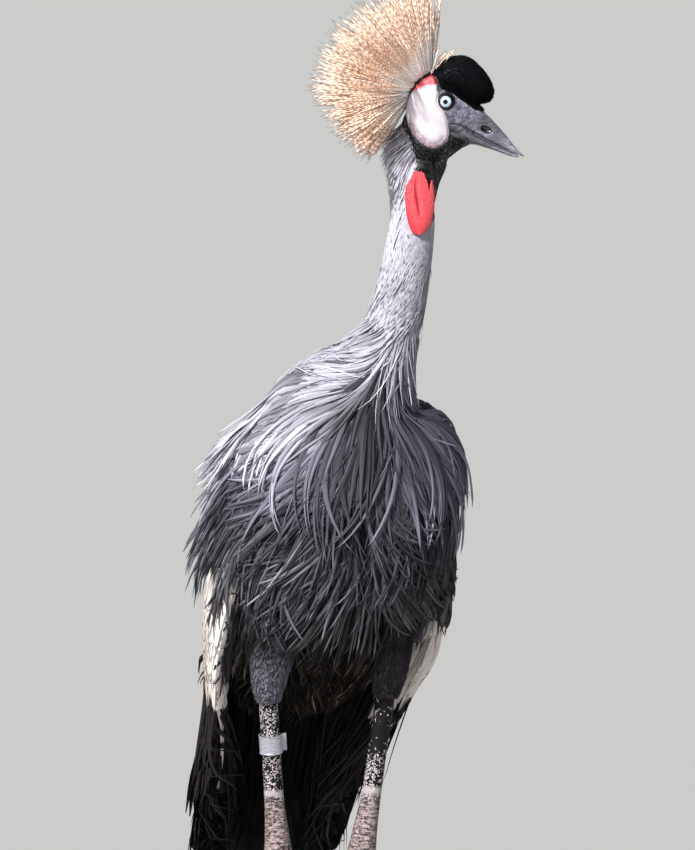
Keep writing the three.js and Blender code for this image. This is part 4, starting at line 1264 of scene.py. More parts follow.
def sunk_by(points, depth):
    """Blades (n, rings, 3) let down by a depth for each blade and ring."""
    return points - np.array([0, 0, 1.0]) * depth[..., None]


# How far in degrees the plumes turn off the trunk's way, by places along it, on the bird's right and left
SWEEP_PLACES = [0.31, 0.37, 0.44, 0.52, 0.60, 0.70, 0.82]
SWEEP_RIGHT = [34, 52, 54, 44, 28, 15, 6]
SWEEP_LEFT = [26, 38, 38, 32, 24, 14, 6]


def sweep(angle, t):
    """How far the plumes turn outwards from the breast's middle line, as an angle off the trunk's way."""
    off = (angle + 1.5 * np.pi) % (2 * np.pi) - np.pi
    away = np.abs(off)
    shape = smooth(0, 0.7, away) * (1 - smooth(1.4, 2.3, away))
    right = np.interp(t, SWEEP_PLACES, SWEEP_RIGHT)
    left = np.interp(t, SWEEP_PLACES, SWEEP_LEFT)
    return np.sign(off) * np.radians(np.where(off < 0, right, left)) * shape


def plumes(name, count, t_range, angle_range, seed, length, width, rise, thick=1.2, spread=0.14, stray=0.10,
           rings=12, clump=6, pull=0.35, flare=12.0, tone=1.0, section=CUPPED, droop=8.0, shade=(0.42, 1.18),
           curl=0.0, bend=0.22):
    """Long loose plumes of the trunk. Their length is given by places along it, in rows of places and
    millimetres, and so is their width, or as one number."""
    rng = np.random.default_rng(seed)
    t, angle = scatter(COAT, count, t_range, angle_range, rng)
    root = COAT.at(t, angle)
    x, _, z = root.T
    width = np.interp(t, *width) if isinstance(width, tuple) else width
    belly = smooth(-0.3, -0.9, np.sin(angle))
    sideways = np.cos(angle) ** 2
    above = smooth(0.1, 0.8, np.sin(angle))
    long = np.interp(t, *length) * rng.uniform(0.75, 1.2, count) * (1 - 0.25 * above)
    s = np.linspace(0, 1, rings)[None]
    lifts = -3 + (3 + (rise * long / 120 * rng.uniform(0.3, 1.5, count))[:, None]) * s ** 0.8
    level = np.interp(t, [0.33, 0.4, 0.55, 0.68], [0.4, 1, 1, 0.1])
    lifts = lifts + (flare * sideways * level * rng.uniform(0.3, 1.2, count))[:, None] * s ** 2.2
    swirl = np.sin(x / 17 + z / 29) + 0.7 * np.sin(z / 13 - x / 19)
    heading = stray * (1.3 * swirl + rng.normal(0, 0.55, count))
    shared = np.sin(x / 23 + z / 31 + seed) + 0.6 * np.sin(z / 15 - x / 27)
    turn = bend * (rng.normal(0, 0.4, count) + shared) - 0.45 * sweep(angle, t) * rng.uniform(0.0, 1.0, count)
    points, up = trace(COAT, t, angle, long, heading, turn, lifts, sweep)
    points = gather(points, root, clump, pull * rng.uniform(0.2, 1.2, count), rng)
    # Some tips curl, most of them down.
    hooked = curl * rng.uniform(0, 1, count) ** 2 * sideways * level
    rise_or_fall = np.where(rng.uniform(0, 1, count) < 0.25, 0.8, -1.0)
    outward = np.stack([np.sign(x) * 0.2 * rise_or_fall, np.full(count, -0.3), rise_or_fall], 1)
    points = points + (hooked[:, None] * s ** 3.5)[..., None] * outward[:, None]
    points = sunk_by(points, (droop + 8 * belly)[:, None] * s ** 2.5)
    points, free = over_wings(points)
    half = (width * rng.uniform(0.6, 1.25, count) / 2)[:, None] * taper(rings, 0.5, 0.34, 0.04)[None]
    base = body_tint(root * 0.4 + points[:, rings // 2] * 0.6)
    light = (rng.uniform(0, 1, count) < 0.25) * belly * smooth(520, 430, z)
    base = mix(base, BELLY_LIGHT, light * 0.6)
    # Painted shade: `shade` darkens each plume towards its root.
    tint = shades(base * tone, count, rings, rng, spread, *shade)
    roll = rng.normal(0, 0.28, (count, 1)) * s
    piece = blades(name, points[free], up[free], half[free], thick, tint[free], trunk_chart(t, angle)[free],
                   section, roll[free])
    dress(piece, FEATHER, "body_plumage")


ALL_ROUND = (-math.pi, math.pi)
FRONT = (-math.pi * 1.08, math.pi * 0.08)
BACK = (0.1, math.pi - 0.1)


def body_coat():
    """An underlayer, painted dark as the shade between the plumes, then the outer plumes on it from the neck
    down to the belly, and loose thin strands.
    """
    # Painted shade: the underlayer is tinted to a third of the plumage's colour, so that the gaps between the
    # plumes are dark.
    plumes("underlayer", 1300, (0.33, 0.88), FRONT, 30, ([0.33, 0.45, 0.6, 0.88], [60, 104, 96, 54]), 9, 2.0,
           flare=0, tone=0.32, pull=0.1, section=RIDGED, rings=8, shade=(0.6, 0.95))
    plumes("hackles_high", 1250, (0.30, 0.46), ALL_ROUND, 31, ([0.3, 0.36, 0.42, 0.47], [44, 80, 104, 120]),
           ([0.30, 0.42], [2.8, 5.0]), 5.0, spread=0.18, shade=(0.75, 1.1), thick=0.9, section=RIDGED,
           stray=0.08, flare=6.0, pull=0.4, bend=0.2)
    plumes("hackles_middle", 1150, (0.42, 0.67), FRONT, 32, ([0.42, 0.6], [110, 96]), 7.4, 11.0,
           shade=(0.28, 1.15), spread=0.42, thick=1.6, pull=0.7, curl=30.0, bend=0.46, stray=0.2, tone=1.12)
    plumes("side_plumes", 230, (0.41, 0.56), (-math.pi * 1.12, -math.pi * 0.84), 37,
           ([0.42, 0.56], [122, 100]), 6.4, 12.0, shade=(0.35, 1.1), spread=0.35, thick=1.3, pull=0.75,
           clump=8, curl=16.0, flare=34.0, bend=0.35, stray=0.14, droop=14.0)
    plumes("hackles_low", 900, (0.56, 0.76), (-math.pi * 0.98, -math.pi * 0.02), 33,
           ([0.58, 0.7, 0.86], [100, 84, 60]), 7.4, 12.0, pull=0.75, shade=(0.22, 1.45), spread=0.6,
           thick=1.4, curl=16.0, bend=0.32, stray=0.16, tone=1.35)
    plumes("belly", 1300, (0.68, 0.93), (-math.pi * 0.9, -math.pi * 0.1), 36, ([0.68, 0.93], [70, 48]),
           3.0, 10.0, pull=0.75, section=RIDGED, rings=9, stray=0.3, thick=0.8, clump=9, spread=0.3, bend=0.4)
    plumes("mantle", 900, (0.36, 0.95), BACK, 34, ([0.4, 0.6, 0.95], [96, 104, 50]), 12.0, 6.5,
           flare=0.0, stray=0.06, pull=0.15, shade=(0.5, 1.1), droop=3.0)
    plumes("strands", 900, (0.31, 0.74), FRONT, 35, ([0.32, 0.45, 0.74], [64, 112, 90]), 1.4, 10.0,
           thick=0.6, stray=0.3, clump=4, pull=0.6, flare=10.0, tone=1.5, section=RIDGED, rings=11,
           shade=(0.5, 1.2), curl=26.0, bend=0.6, spread=0.45)


body_coat()


def loose(form, t, angle, long, stray, turn, lifts, rng):
    """Paths over a form that set off and turn at random, by so many radians."""
    count = len(t)
    return trace(form, t, angle, long, rng.normal(0, stray, count), rng.normal(0, turn, count), lifts)


def thigh_set(side, seed):
    rng = np.random.default_rng(seed)
    form, _ = legs_of(side)
    count, rings = 3000, 5
    t, angle = scatter(form, count, (0.05, 0.96), ALL_ROUND, rng)
    s = np.linspace(0, 1, rings)[None]
    long = np.interp(t, [0, 0.7, 0.96], [26, 16, 4]) * rng.uniform(0.8, 1.2, count)
    lifts = -2 + (3.6 + rng.uniform(0, 1.5, (count, 1))) * s
    points, up = loose(form, t, angle, long, 0.15, 0.2, lifts, rng)
    half = np.full((count, 1), 1.5) * taper(rings, 0.7, 0.4, 0.03)[None]
    low = smooth(452, 405, form.at(t, angle)[:, 2])
    # Painted shade: the left thigh (side 1), away from the key light, is tinted darker than the right.
    base = mix(DARK_SLATE * 0.5, rgb(116, 114, 124) if side < 0 else rgb(68, 64, 68), low)
    ridges = 1 + 0.25 * np.sin(angle * 9 + 3 * t)
    tint = shades(base * ridges[:, None], count, rings, rng, 0.22, 0.5, 1.25)
    chart = trunk_chart(t, angle) * np.array([0.48, 1]) + np.array([0 if side > 0 else 0.5, 0])
    return points, up, half, tint, chart


def thigh_feathers():
    points, up, half, tint, chart = join_sets([thigh_set(1, 41), thigh_set(-1, 42)])
    dress(blades("thigh_feathers", points, up, half, 0.5, tint, chart), SOFT, "body_plumage")


FLANKS = (
    # side, seed, count, places along the wing, angles in degrees, lengths
    (1, 45, 280, (0.04, 0.30), (-140, -48), (60, 88)),
    (-1, 46, 220, (0.04, 0.16), (-150, 40), (62, 92)),
    (-1, 47, 200, (0.16, 0.46), (-165, -112), (54, 84)),
)


def flank_set(side, seed, count, place, turned, long):
    rng = np.random.default_rng(seed)
    rings = 10
    s = np.linspace(0, 1, rings)[None]
    t = rng.uniform(*place, count)
    angle = np.radians(rng.uniform(*turned, count))
    lifts = -2 + (5 + rng.uniform(0, 7, (count, 1))) * s ** 0.8
    heading, turn = rng.normal(0, 0.1, count), rng.normal(0, 0.25, count)
    points, up = trace(WING, t, angle, rng.uniform(*long, count), heading, turn, lifts)
    points, up = mirrored(sunk_by(points, 8 * s ** 2), side), mirrored(up, side)
    points = gather(points, points[:, 0], 5, rng.uniform(0.1, 0.7, count), rng)
    half = rng.uniform(2.2, 4.4, (count, 1)) * taper(rings, 0.5, 0.42, 0.1)[None]
    tint = shades(body_tint(points[:, rings // 2]), count, rings, rng, 0.35, 0.35, 1.3)
    chart = np.stack([angle / (4 * np.pi) + (0.25 if side > 0 else 0.75), t], 1)
    return points, up, half, tint, chart


def flank_plumes():
    """Dark plumes that hang over the front edges of the wings."""
    points, up, half, tint, chart = join_sets(flank_set(*row) for row in FLANKS)
    dress(blades("flank_plumes", points, up, half, 1.2, tint, chart), FEATHER, "body_plumage")


thigh_feathers()
flank_plumes()


# Wings: tiers of vanes over the core, plumes over them, and the long feathers below


def curve_through(points, rings):
    """Smooth paths through control points (n, k, 3)."""
    first, last = 2 * points[:, :1] - points[:, 1:2], 2 * points[:, -1:] - points[:, -2:-1]
    padded = np.concatenate([first, points, last], 1)
    spans = points.shape[1] - 1
    place = np.linspace(0, 1, rings) * spans
    i = np.minimum(place.astype(int), spans - 1)
    w = (place - i)[None, :, None]
    a, b, c, d = (padded[:, i + j] for j in range(4))
    start, end = (c - a) / 2, (d - b) / 2
    return ((2 * b - 2 * c + start + end) * w + (-3 * b + 3 * c - 2 * start - end)) * w * w + start * w + b


# The lowest that the loose dark filaments hang
HEM = 168
COVERT_TIERS = [
    # place along the wing, first and last angle in degrees, count, length, width, lift
    (0.10, 70, -95, 12, 84, 22, 2.4),
    (0.19, 74, -98, 16, 96, 22, 2.8),
    (0.28, 76, -96, 19, 106, 22, 3.2),
    (0.36, 76, -90, 20, 104, 21, 3.6),
    (0.44, 74, -84, 20, 100, 20, 4.0),
]
# The same for the feathers on the side that faces the body, painted near black as shade
UNDER_TIERS = [
    (0.28, 100, 260, 14, 100, 26, 3.0),
    (0.42, 100, 262, 14, 110, 26, 4.0),
    (0.54, 100, 268, 14, 120, 26, 5.0),
    (0.64, 100, 268, 12, 120, 26, 5.0),
]


def covert_set(side, rng, place, first, last, count, length, width, lift):
    rings = 14
    angle = np.radians(np.linspace(first, last, count)) + rng.normal(0, 0.02, count)
    t = place + rng.normal(0, 0.006, count)
    s = np.linspace(0, 1, rings)[None]
    lifts = -2 + (2 + lift + rng.uniform(0, 1, (count, 1))) * s ** 0.7
    points, up = loose(WING, t, angle, length * rng.uniform(0.94, 1.06, count), 0.03, 0.05, lifts, rng)
    turned = np.degrees(angle)
    edge_on = smooth(-45, -80, turned) + smooth(205, 235, turned)
    half = (width / 2.0 * (1 - 0.5 * edge_on))[:, None] * taper(rings, 0.5, 0.45, 0.25, 1.8)[None]
    base = mix(CREAM, rgb(236, 220, 196), rng.uniform(0, 0.4, count) * smooth(0.2, 0.5, place))
    # Painted shade: on the side that faces the body the feathers are tinted near black.
    if last > first:
        base = mix(np.tile(BLACK * 1.4, (count, 1)), base, smooth(196, 214, turned))
    tint = shades(base, count, rings, rng, 0.04, 0.9, 1.02)
    chart = np.stack([angle / (2 * np.pi) + 0.35, np.full(count, place)], 1)
    return mirrored(points, side), mirrored(up, side), half, tint, chart


LONG_ROWS = [
    # Place along the wing, first and last angle in degrees, count, width, first and last tip, colour, and
    # the height from one feather to the next: chestnut ones, then black ones under them
    (0.56, 86, 6, 11, 30, (16, 262, 226), (70, 214, 232), CHESTNUT * 0.75, 1.3),
    (0.62, -14, -62, 7, 26, (72, 204, 196), (60, 180, 224), BLACK, -1.3),
]


def long_set(side, rng, place, first, last, count, width, first_tip, last_tip, colour, step):
    """One row of the long hanging feathers of the wing."""
    rings = 26
    share = np.linspace(0, 1, count)
    angle = np.radians(first + (last - first) * share)
    tip = np.array(first_tip)[None] + (np.array(last_tip) - np.array(first_tip))[None] * share[:, None]
    tip = tip + rng.normal(0, 2.0, tip.shape)
    out = unit(np.array([1, 0.5, 0.2]))
    height = step * (count - np.arange(count)) if step > 0 else step * np.arange(count)
    early = WING.at(np.full(count, place + 0.14), angle, 1.5)
    points = curve_through(np.stack([
        WING.at(np.full(count, place), angle, -3),
        early + out * (height / 2)[:, None],
        early + (tip - early) * 0.55 + np.array([2, 4, 0]) + out * height[:, None],
        tip + out * height[:, None],
    ], 1), rings)
    half = np.full((count, 1), width / 2.0) * taper(rings, 0.35, 0.5, 0.4, 2.4)[None]
    frayed = 1 + 0.05 * rng.normal(0, 1, half.shape) * np.linspace(0.3, 1, rings)
    tint = shades(colour, count, rings, rng, 0.12, 0.9, 0.75)
    chart = np.stack([0.1 + 0.8 * share, np.full(count, place)], 1)
    up = np.broadcast_to(out, points.shape)
    return mirrored(points, side), mirrored(up, side), half * frayed, tint, chart


def wings():
    for side, label, seed in ((1, "left", 51), (-1, "right", 52)):
        rng = np.random.default_rng(seed)
        coverts = join_sets(covert_set(side, rng, *row) for row in COVERT_TIERS + UNDER_TIERS)
        vanes(f"coverts_{label}", coverts, f"wing_{label}")
        vanes(f"quills_{label}", join_sets(long_set(side, rng, *row) for row in LONG_ROWS))
        straw_plumes(side, label, rng)
        dark_plumes(side, label, rng)


def vanes(name, parts, *nodes):
    points, up, half, tint, chart = parts
    dress(blades(name, points, up, half, 0.35, tint, chart, VANE), STIFF, "wing_plumage", *nodes)


def straw_plumes(side, label, rng):
    """Thin straw and cream filaments that hang over the long feathers."""
    count, rings = 380, 12
    t = rng.uniform(0.32, 0.48, count)
    angle = np.radians(rng.uniform(-45, 76, count))
    s = np.linspace(0, 1, rings)[None]
    front = smooth(-10, -60, np.degrees(angle))
    long = rng.uniform(66, 112, count) * (1 - 0.3 * front)
    lifts = -2 + (5 + rng.uniform(0, 3, (count, 1))) * s ** 0.8
    points, up = loose(WING, t, angle, long, 0.06, 0.15, lifts, rng)
    points = sunk_by(points, 10 * s ** 2)
    half = rng.uniform(1.0, 2.4, (count, 1)) * taper(rings, 0.6, 0.35, 0.1)[None]
    straw = rng.uniform(0, 1, count) * (1 - 0.6 * front)
    tint = shades(mix(CREAM, STRAW, 0.6 * straw ** 1.5), count, rings, rng, 0.12, 0.85, 1.1)
    points, up = mirrored(points, side), mirrored(up, side)
    piece = blades(f"straw_plumes_{label}", points, up, half, 0.5, tint, wing_chart(t, angle))
    dress(piece, SOFT, "wing_plumage")


def wing_chart(t, angle):
    return np.stack([angle / (2 * np.pi) + 0.5, t], 1)


def dark_plumes(side, label, rng):
    """Long frayed brown-black filaments over the hanging feathers, inside and out."""
    count, rings = 520, 10
    t = rng.uniform(0.56, 0.86, count)
    angle = rng.uniform(*ALL_ROUND, count)
    s = np.linspace(0, 1, rings)[None]
    inner = smooth(0.2, -0.6, np.cos(angle))
    long = rng.uniform(100, 150, count) + 14 * inner
    lifts = -2 + (4 + rng.uniform(0, 1, (count, 1)) ** 1.5 * (22 - 8 * inner[:, None])) * s ** 0.9
    points, up = loose(WING, t, angle, long, 0.13, 0.3, lifts, rng)
    points = sunk_by(points, 16 * s ** 2)
    half = rng.uniform(2.2, 4.6, (count, 1)) * (1 + 0.4 * inner[:, None]) * taper(rings, 0.6, 0.4, 0.08)[None]
    # Painted shade: the filaments on the inner side, facing the body, are tinted darker.
    base = mix(BROWN_BLACK * (1.5 - 0.8 * inner[:, None]), BLACK, smooth(0.66, 0.86, t))
    tint = shades(base, count, rings, rng, 0.25, 0.6, 1.2)
    points[..., 2] = np.maximum(points[..., 2], HEM)
    points, up = mirrored(points, side), mirrored(up, side)
    piece = blades(f"dark_plumes_{label}", points, up, half, 0.6, tint, wing_chart(t, angle))
    dress(piece, FEATHER, "wing_plumage")


wings()

# Tail: stiff feathers in a narrow fan, under loose ones
TAIL_ROOT, TAIL_TIP = np.array([0.0, 204, 334]), np.array([0.0, 244, 180])


def tail():
    rng = np.random.default_rng(61)
    count, rings = 12, 24
    share = np.linspace(-1, 1, count)
    low, zero = np.abs(share), 0 * share
    under = np.stack([zero, -1.5 * np.abs(np.arange(count) - (count - 1) / 2), zero], 1)
    root = TAIL_ROOT + np.stack([share * 13, zero, zero], 1)
    tip = TAIL_TIP + np.stack([share * 58, -6 * low, 14 * low], 1) + under
    bend = (root + tip) / 2 + np.array([0, 3, 0]) + under / 2
    points = curve_through(np.stack([root, bend, tip], 1), rings)
    up = unit(np.stack([share * 0.25, zero + 1, zero + 0.25], 1))[:, None]
    half = np.full((count, 1), 14.5) * taper(rings, 0.4, 0.55, 0.55, 2.6)[None]
    tint = shades(BLACK, count, rings, rng, 0.12, 1.0, 0.85)
    chart = np.stack([0.1 + 0.4 * (share + 1), zero + 0.5], 1)
    dress(blades("tail_feathers", points, up, half, 0.4, tint, chart, VANE), STIFF, "tail_plumage", "tail")


def rump_plumes():
    """Dark loose feathers from the rump and under the tail, which hide the long feathers' roots."""
    rng = np.random.default_rng(62)
    count, rings = 1000, 9
    t, angle = scatter(TRUNK, count, (0.84, 1.0), ALL_ROUND, rng)
    s = np.linspace(0, 1, rings)[None]
    above = smooth(-0.2, 0.6, np.sin(angle))
    long = rng.uniform(60, 84, count) + (1 - above) * rng.uniform(10, 70, count)
    lifts = -3 + (7 + rng.uniform(0, 4, (count, 1))) * s ** 0.8
    points, up = loose(TRUNK, t, angle, long * 0.6, 0.1, 0.2, lifts, rng)
    # Past the trunk's end they hang down along the tail.
    hang = (long * 0.75)[:, None] * s ** 1.8
    points = points + hang[..., None] * np.array([0, 0.1, -1.0])
    points[..., 1] -= (above[:, None] * 16) * s ** 1.5
    half = rng.uniform(2.6, 5.0, (count, 1)) * taper(rings, 0.6, 0.4, 0.1)[None]
    base = mix(BLACK * 1.3, DARK_SLATE * 0.8, (np.sin(angle) > 0.1) * smooth(0.97, 0.86, t))
    tint = shades(base, count, rings, rng, 0.2, 0.7, 1.1)
    piece = blades("rump_plumes", points, up, half, 0.8, tint, trunk_chart(t, angle))
    dress(piece, FEATHER, "body_plumage")


tail()
rump_plumes()

# The crown: stiff twisted bristles in a wide cone behind the head
CREST_Y, CREST_Z = 19.4, -5.1
CREST_SPREAD = math.radians(72)
CREST_REACH = 118.0
# The cone is this share as wide as it is high.
CREST_NARROW = 0.86
CREST_COUNT, CREST_STRAYS = 1200, 14
NAPE_SIDE, NAPE_UP, NAPE_DOWN, NAPE_TOP = 8 * 1.3, 25, 20, 22


def nape_at(x, z):
    """The place on the skull's back at x and z in the head frame."""
    places = np.linspace(1, 0.6, 60)
    value = SKULL.curve(places)[0]
    high = np.where(z[:, None] > value[None, :, 2], value[None, :, 4], value[None, :, 5])
    outside = np.hypot(x[:, None] / value[None, :, 3], (z[:, None] - value[None, :, 2]) / high) > 1
    first = np.argmin(outside, axis=1)
    return np.stack([x, value[first, 1] - 1.5, z], 1)


def crown():
    rng = np.random.default_rng(71)
    rings = 22
    i = np.arange(CREST_COUNT)
    height = 1 - ((i + 0.5) / CREST_COUNT) * (1 - math.cos(CREST_SPREAD))
    tilt = np.arccos(height) + rng.normal(0, 0.03, CREST_COUNT)
    around = i * math.pi * (3 - math.sqrt(5)) + rng.normal(0, 0.05, CREST_COUNT)
    # A few stray bristles stand up between the crown and the cushion.
    tilt = np.append(tilt, rng.uniform(1.3, 1.75, CREST_STRAYS))
    around = np.append(around, rng.normal(math.pi / 2, 0.25, CREST_STRAYS))
    count = CREST_COUNT + CREST_STRAYS
    stray = np.arange(count) >= CREST_COUNT
    across, upward = CREST_NARROW * np.sin(tilt) * np.cos(around), np.sin(tilt) * np.sin(around)
    way = np.stack([across, np.cos(tilt), upward], 1)
    below = np.clip(-upward - 0.35, 0, 1)
    short = rng.uniform(0, 1, count) < 0.35
    reach = np.where(short, rng.uniform(0.66, 0.9, count), rng.uniform(0.9, 1.03, count))
    reach = CREST_REACH * (1 - 0.42 * below) * np.where(stray, rng.uniform(0.32, 0.5, count), reach)
    rise = np.where(upward > 0, NAPE_UP, NAPE_DOWN) * upward
    root = nape_at(NAPE_SIDE * across, CREST_Z + np.minimum(rise, NAPE_TOP))
    tip = np.array([0, CREST_Y, CREST_Z]) + way * reach[:, None]
    middle = (root + tip) / 2 + unit(rng.normal(0, 1, (count, 3))) * rng.uniform(0, 3.5, (count, 1))
    path = curve_through(np.stack([root, middle, tip], 1), rings)
    s = np.linspace(0, 1, rings)[None]
    start = rng.uniform(0, 6.28, count)[:, None]
    side = unit(np.cross(way, np.array([0.3, 0.1, 1.0])))
    path = path + side[:, None] * (np.sin(s * 9 + start) * 0.5 * s)[..., None]
    width = np.interp(s, [0, 0.2, 0.5, 0.8, 0.9, 0.94, 1], [0.7, 0.62, 0.58, 0.78, 0.58, 0.16, 0.05])
    beads = 1 + 0.3 * np.sin(s * 58 + rng.uniform(0, 6.28, (count, 1))) * smooth(0.2, 0.6, s)
    half = width * beads * rng.uniform(0.8, 1.2, (count, 1))
    fade = smooth(0.2, 0.7, s) + rng.normal(0, 0.16, (count, 1))
    base = mix(rgb(255, 252, 250), rgb(242, 212, 189), np.clip(fade, 0, 1))
    base = mix(base, rgb(34, 30, 30), smooth(0.895, 0.94, s))
    base = base * rng.normal(1.06, 0.13, (count, 1, 1)).clip(0.6, 1.3)
    chart = np.stack([around / (2 * np.pi) % 1, tilt / CREST_SPREAD * 0.75], 1)
    turns = s * 9 + rng.uniform(0, 6.28, (count, 1))
    outward = np.sign(across)[:, None] * np.array([1.0, 0, 0])
    outward = unit(outward - way * np.einsum("ij,ij->i", outward, way)[:, None] + 1e-6)
    up = outward[:, None] @ HEAD.T
    path = from_head(path)
    for first, part in enumerate(("crown_bristles_inner", "crown_bristles_outer")):
        rows = slice(first, None, 2)
        piece = blades(part, path[rows], up[rows], half[rows], half[rows] * 1.3, base[rows], chart[rows],
                       roll=turns[rows])
        dress(piece, BRISTLE, "crest", "crest")


crown()

# Bill


def bill_colour(points):
    y, z = points[:, 1], points[:, 2]
    base = np.tile(rgb(84, 83, 93), (len(points), 1))
    base = mix(base, rgb(140, 139, 153), smooth(-56, -80, y) * smooth(-24, -20, z) * 0.8)
    # Painted highlight: a lighter band along the bill's side just below the nostril.
    base = mix(base, rgb(120, 119, 131), np.exp(-((y + 43) / 12) ** 2 - ((z + 14.5) / 1.8) ** 2) * 0.8)
    base = mix(base, rgb(58, 57, 63), smooth(-21, -25, z))
    return mix(base, rgb(30, 29, 33), smooth(2.4, 0, np.abs(z - MOUTH_Z)) * 0.8)


NOSTRIL_Y, NOSTRIL_Z = -46.0, -9.2
# How far the bill bends down on its way to the tip
BILL_BEND = ([-91, -75, -50, -30], [-2.6, -2.8, -2.3, 0])


def bent(points):
    return points + np.interp(points[:, 1], *BILL_BEND)[:, None] * np.array([0, 0, 1.0])


def horn_piece(name, points, rings, colour, node):
    piece = loft(name, from_head(bent(points)).reshape(rings.shape), {"tint": colour})
    dress(piece, HORN, "bill", node)


def upper_bill():
    rings = UPPER_BILL.rings(120, 96)
    x, y, z = rings.reshape(-1, 3).T
    z = np.maximum(z, MOUTH_Z + 0.3)
    slope = z - NOSTRIL_Z + 0.12 * (y - NOSTRIL_Y)
    inside = ((y - NOSTRIL_Y) / 5.4) ** 2 + (slope / 3.0) ** 2
    hollow = ((y - NOSTRIL_Y + 2) / 12) ** 2 + ((z - NOSTRIL_Z) / 4.2) ** 2
    pinch = 1 - 0.10 * np.exp(-hollow) - 0.8 * smooth(1.2, 0.8, inside)
    points = np.stack([x * pinch, y, z], 1)
    # Painted shade: the nostril's hollow is tinted black.
    colour = mix(bill_colour(points), rgb(1, 1, 1), smooth(1.35, 1.0, inside))
    horn_piece("bill_upper_horn", points, rings, colour, "bill_upper")


def lower_bill():
    rings = LOWER_BILL.rings(100, 80)
    points = rings.reshape(-1, 3)
    points[:, 2] = np.minimum(points[:, 2], MOUTH_Z - 0.3)
    horn_piece("bill_lower_horn", points, rings, bill_colour(points), "bill_lower")


def horn_look():
    look = Look("horn", Specular_IOR_Level=0.7, Coat_Weight=1.0, Coat_Roughness=0.2)
    long = look.stretched(look.place(), (1.0, 1.0, 3.0))
    cloud = look.noise(long, 140.0, 6.0)
    # Partly painted highlight: the tint is blotched from half to 1.7 times as bright, for the bill's gleam as
    # well as its mottling.
    shade = look.ramp(cloud, (0.32, (0.5, 0.5, 0.5)), (0.5, (0.9, 0.9, 0.9)), (0.7, (1.7, 1.7, 1.75)))
    look.feed("Base Color", look.vectors("MULTIPLY", look.tint(), shade))
    look.feed("Normal", look.bump(look.noise(long, 900.0, 5.0), 0.25, 0.0003))
    look.feed("Roughness", look.line(cloud, 0.3, 0.28))
    return look.material


HORN = horn_look()
upper_bill()
lower_bill()

# Eyes
IRIS_RADIUS = 6.9


def eye_look():
    """A black pupil, an iris of pale and blue rings, and a dark rim, by the distance from the middle."""
    look = Look("eye", Roughness=0.35, Specular_IOR_Level=0.15, Coat_Weight=0.25, Coat_Roughness=0.03)
    wobble = look.line(look.noise(look.place(), 1800.0, 3.0), 0.04, -0.02)
    look.feed("Base Color", look.ramp(
        look.plus(look.attribute("radial"), wobble),
        (0.0, rgb(2, 2, 3)),
        (0.27, rgb(2, 2, 3)),
        (0.33, rgb(90, 108, 126)),
        (0.42, rgb(198, 212, 224)),
        (0.58, rgb(168, 192, 210)),
        (0.70, rgb(206, 222, 234)),
        (0.78, rgb(110, 130, 150)),
        (0.84, rgb(14, 15, 18)),
    ))
    return look.material


def eyes():
    material = eye_look()
    polar = np.linspace(0.001, math.pi - 0.001, 60)[:, None]
    around = np.linspace(0, 2 * math.pi, 72, endpoint=False)[None]
    radius = EYE_RADIUS - 0.1
    off = radius * np.sin(polar)
    radial = np.where(np.cos(polar) < 0, 1.0, np.clip(off / IRIS_RADIUS, 0, 1)) * np.ones_like(around)
    for side, label in ((1, "left"), (-1, "right")):
        out = side * (EYE_X + radius * np.cos(polar) * np.ones_like(around))
        points = np.stack([out, off * np.cos(around), off * np.sin(around)], -1)
        piece = loft(f"eyeball_{label}", from_head(points), {"radial": radial.ravel()})
        dress(piece, material, "eye", f"eye_{label}")


eyes()

# Wattle: a flat lobe on the front of the neck with two points at its top
WATTLE_TOP = 894.0
WATTLE_BOTTOM = 833.0


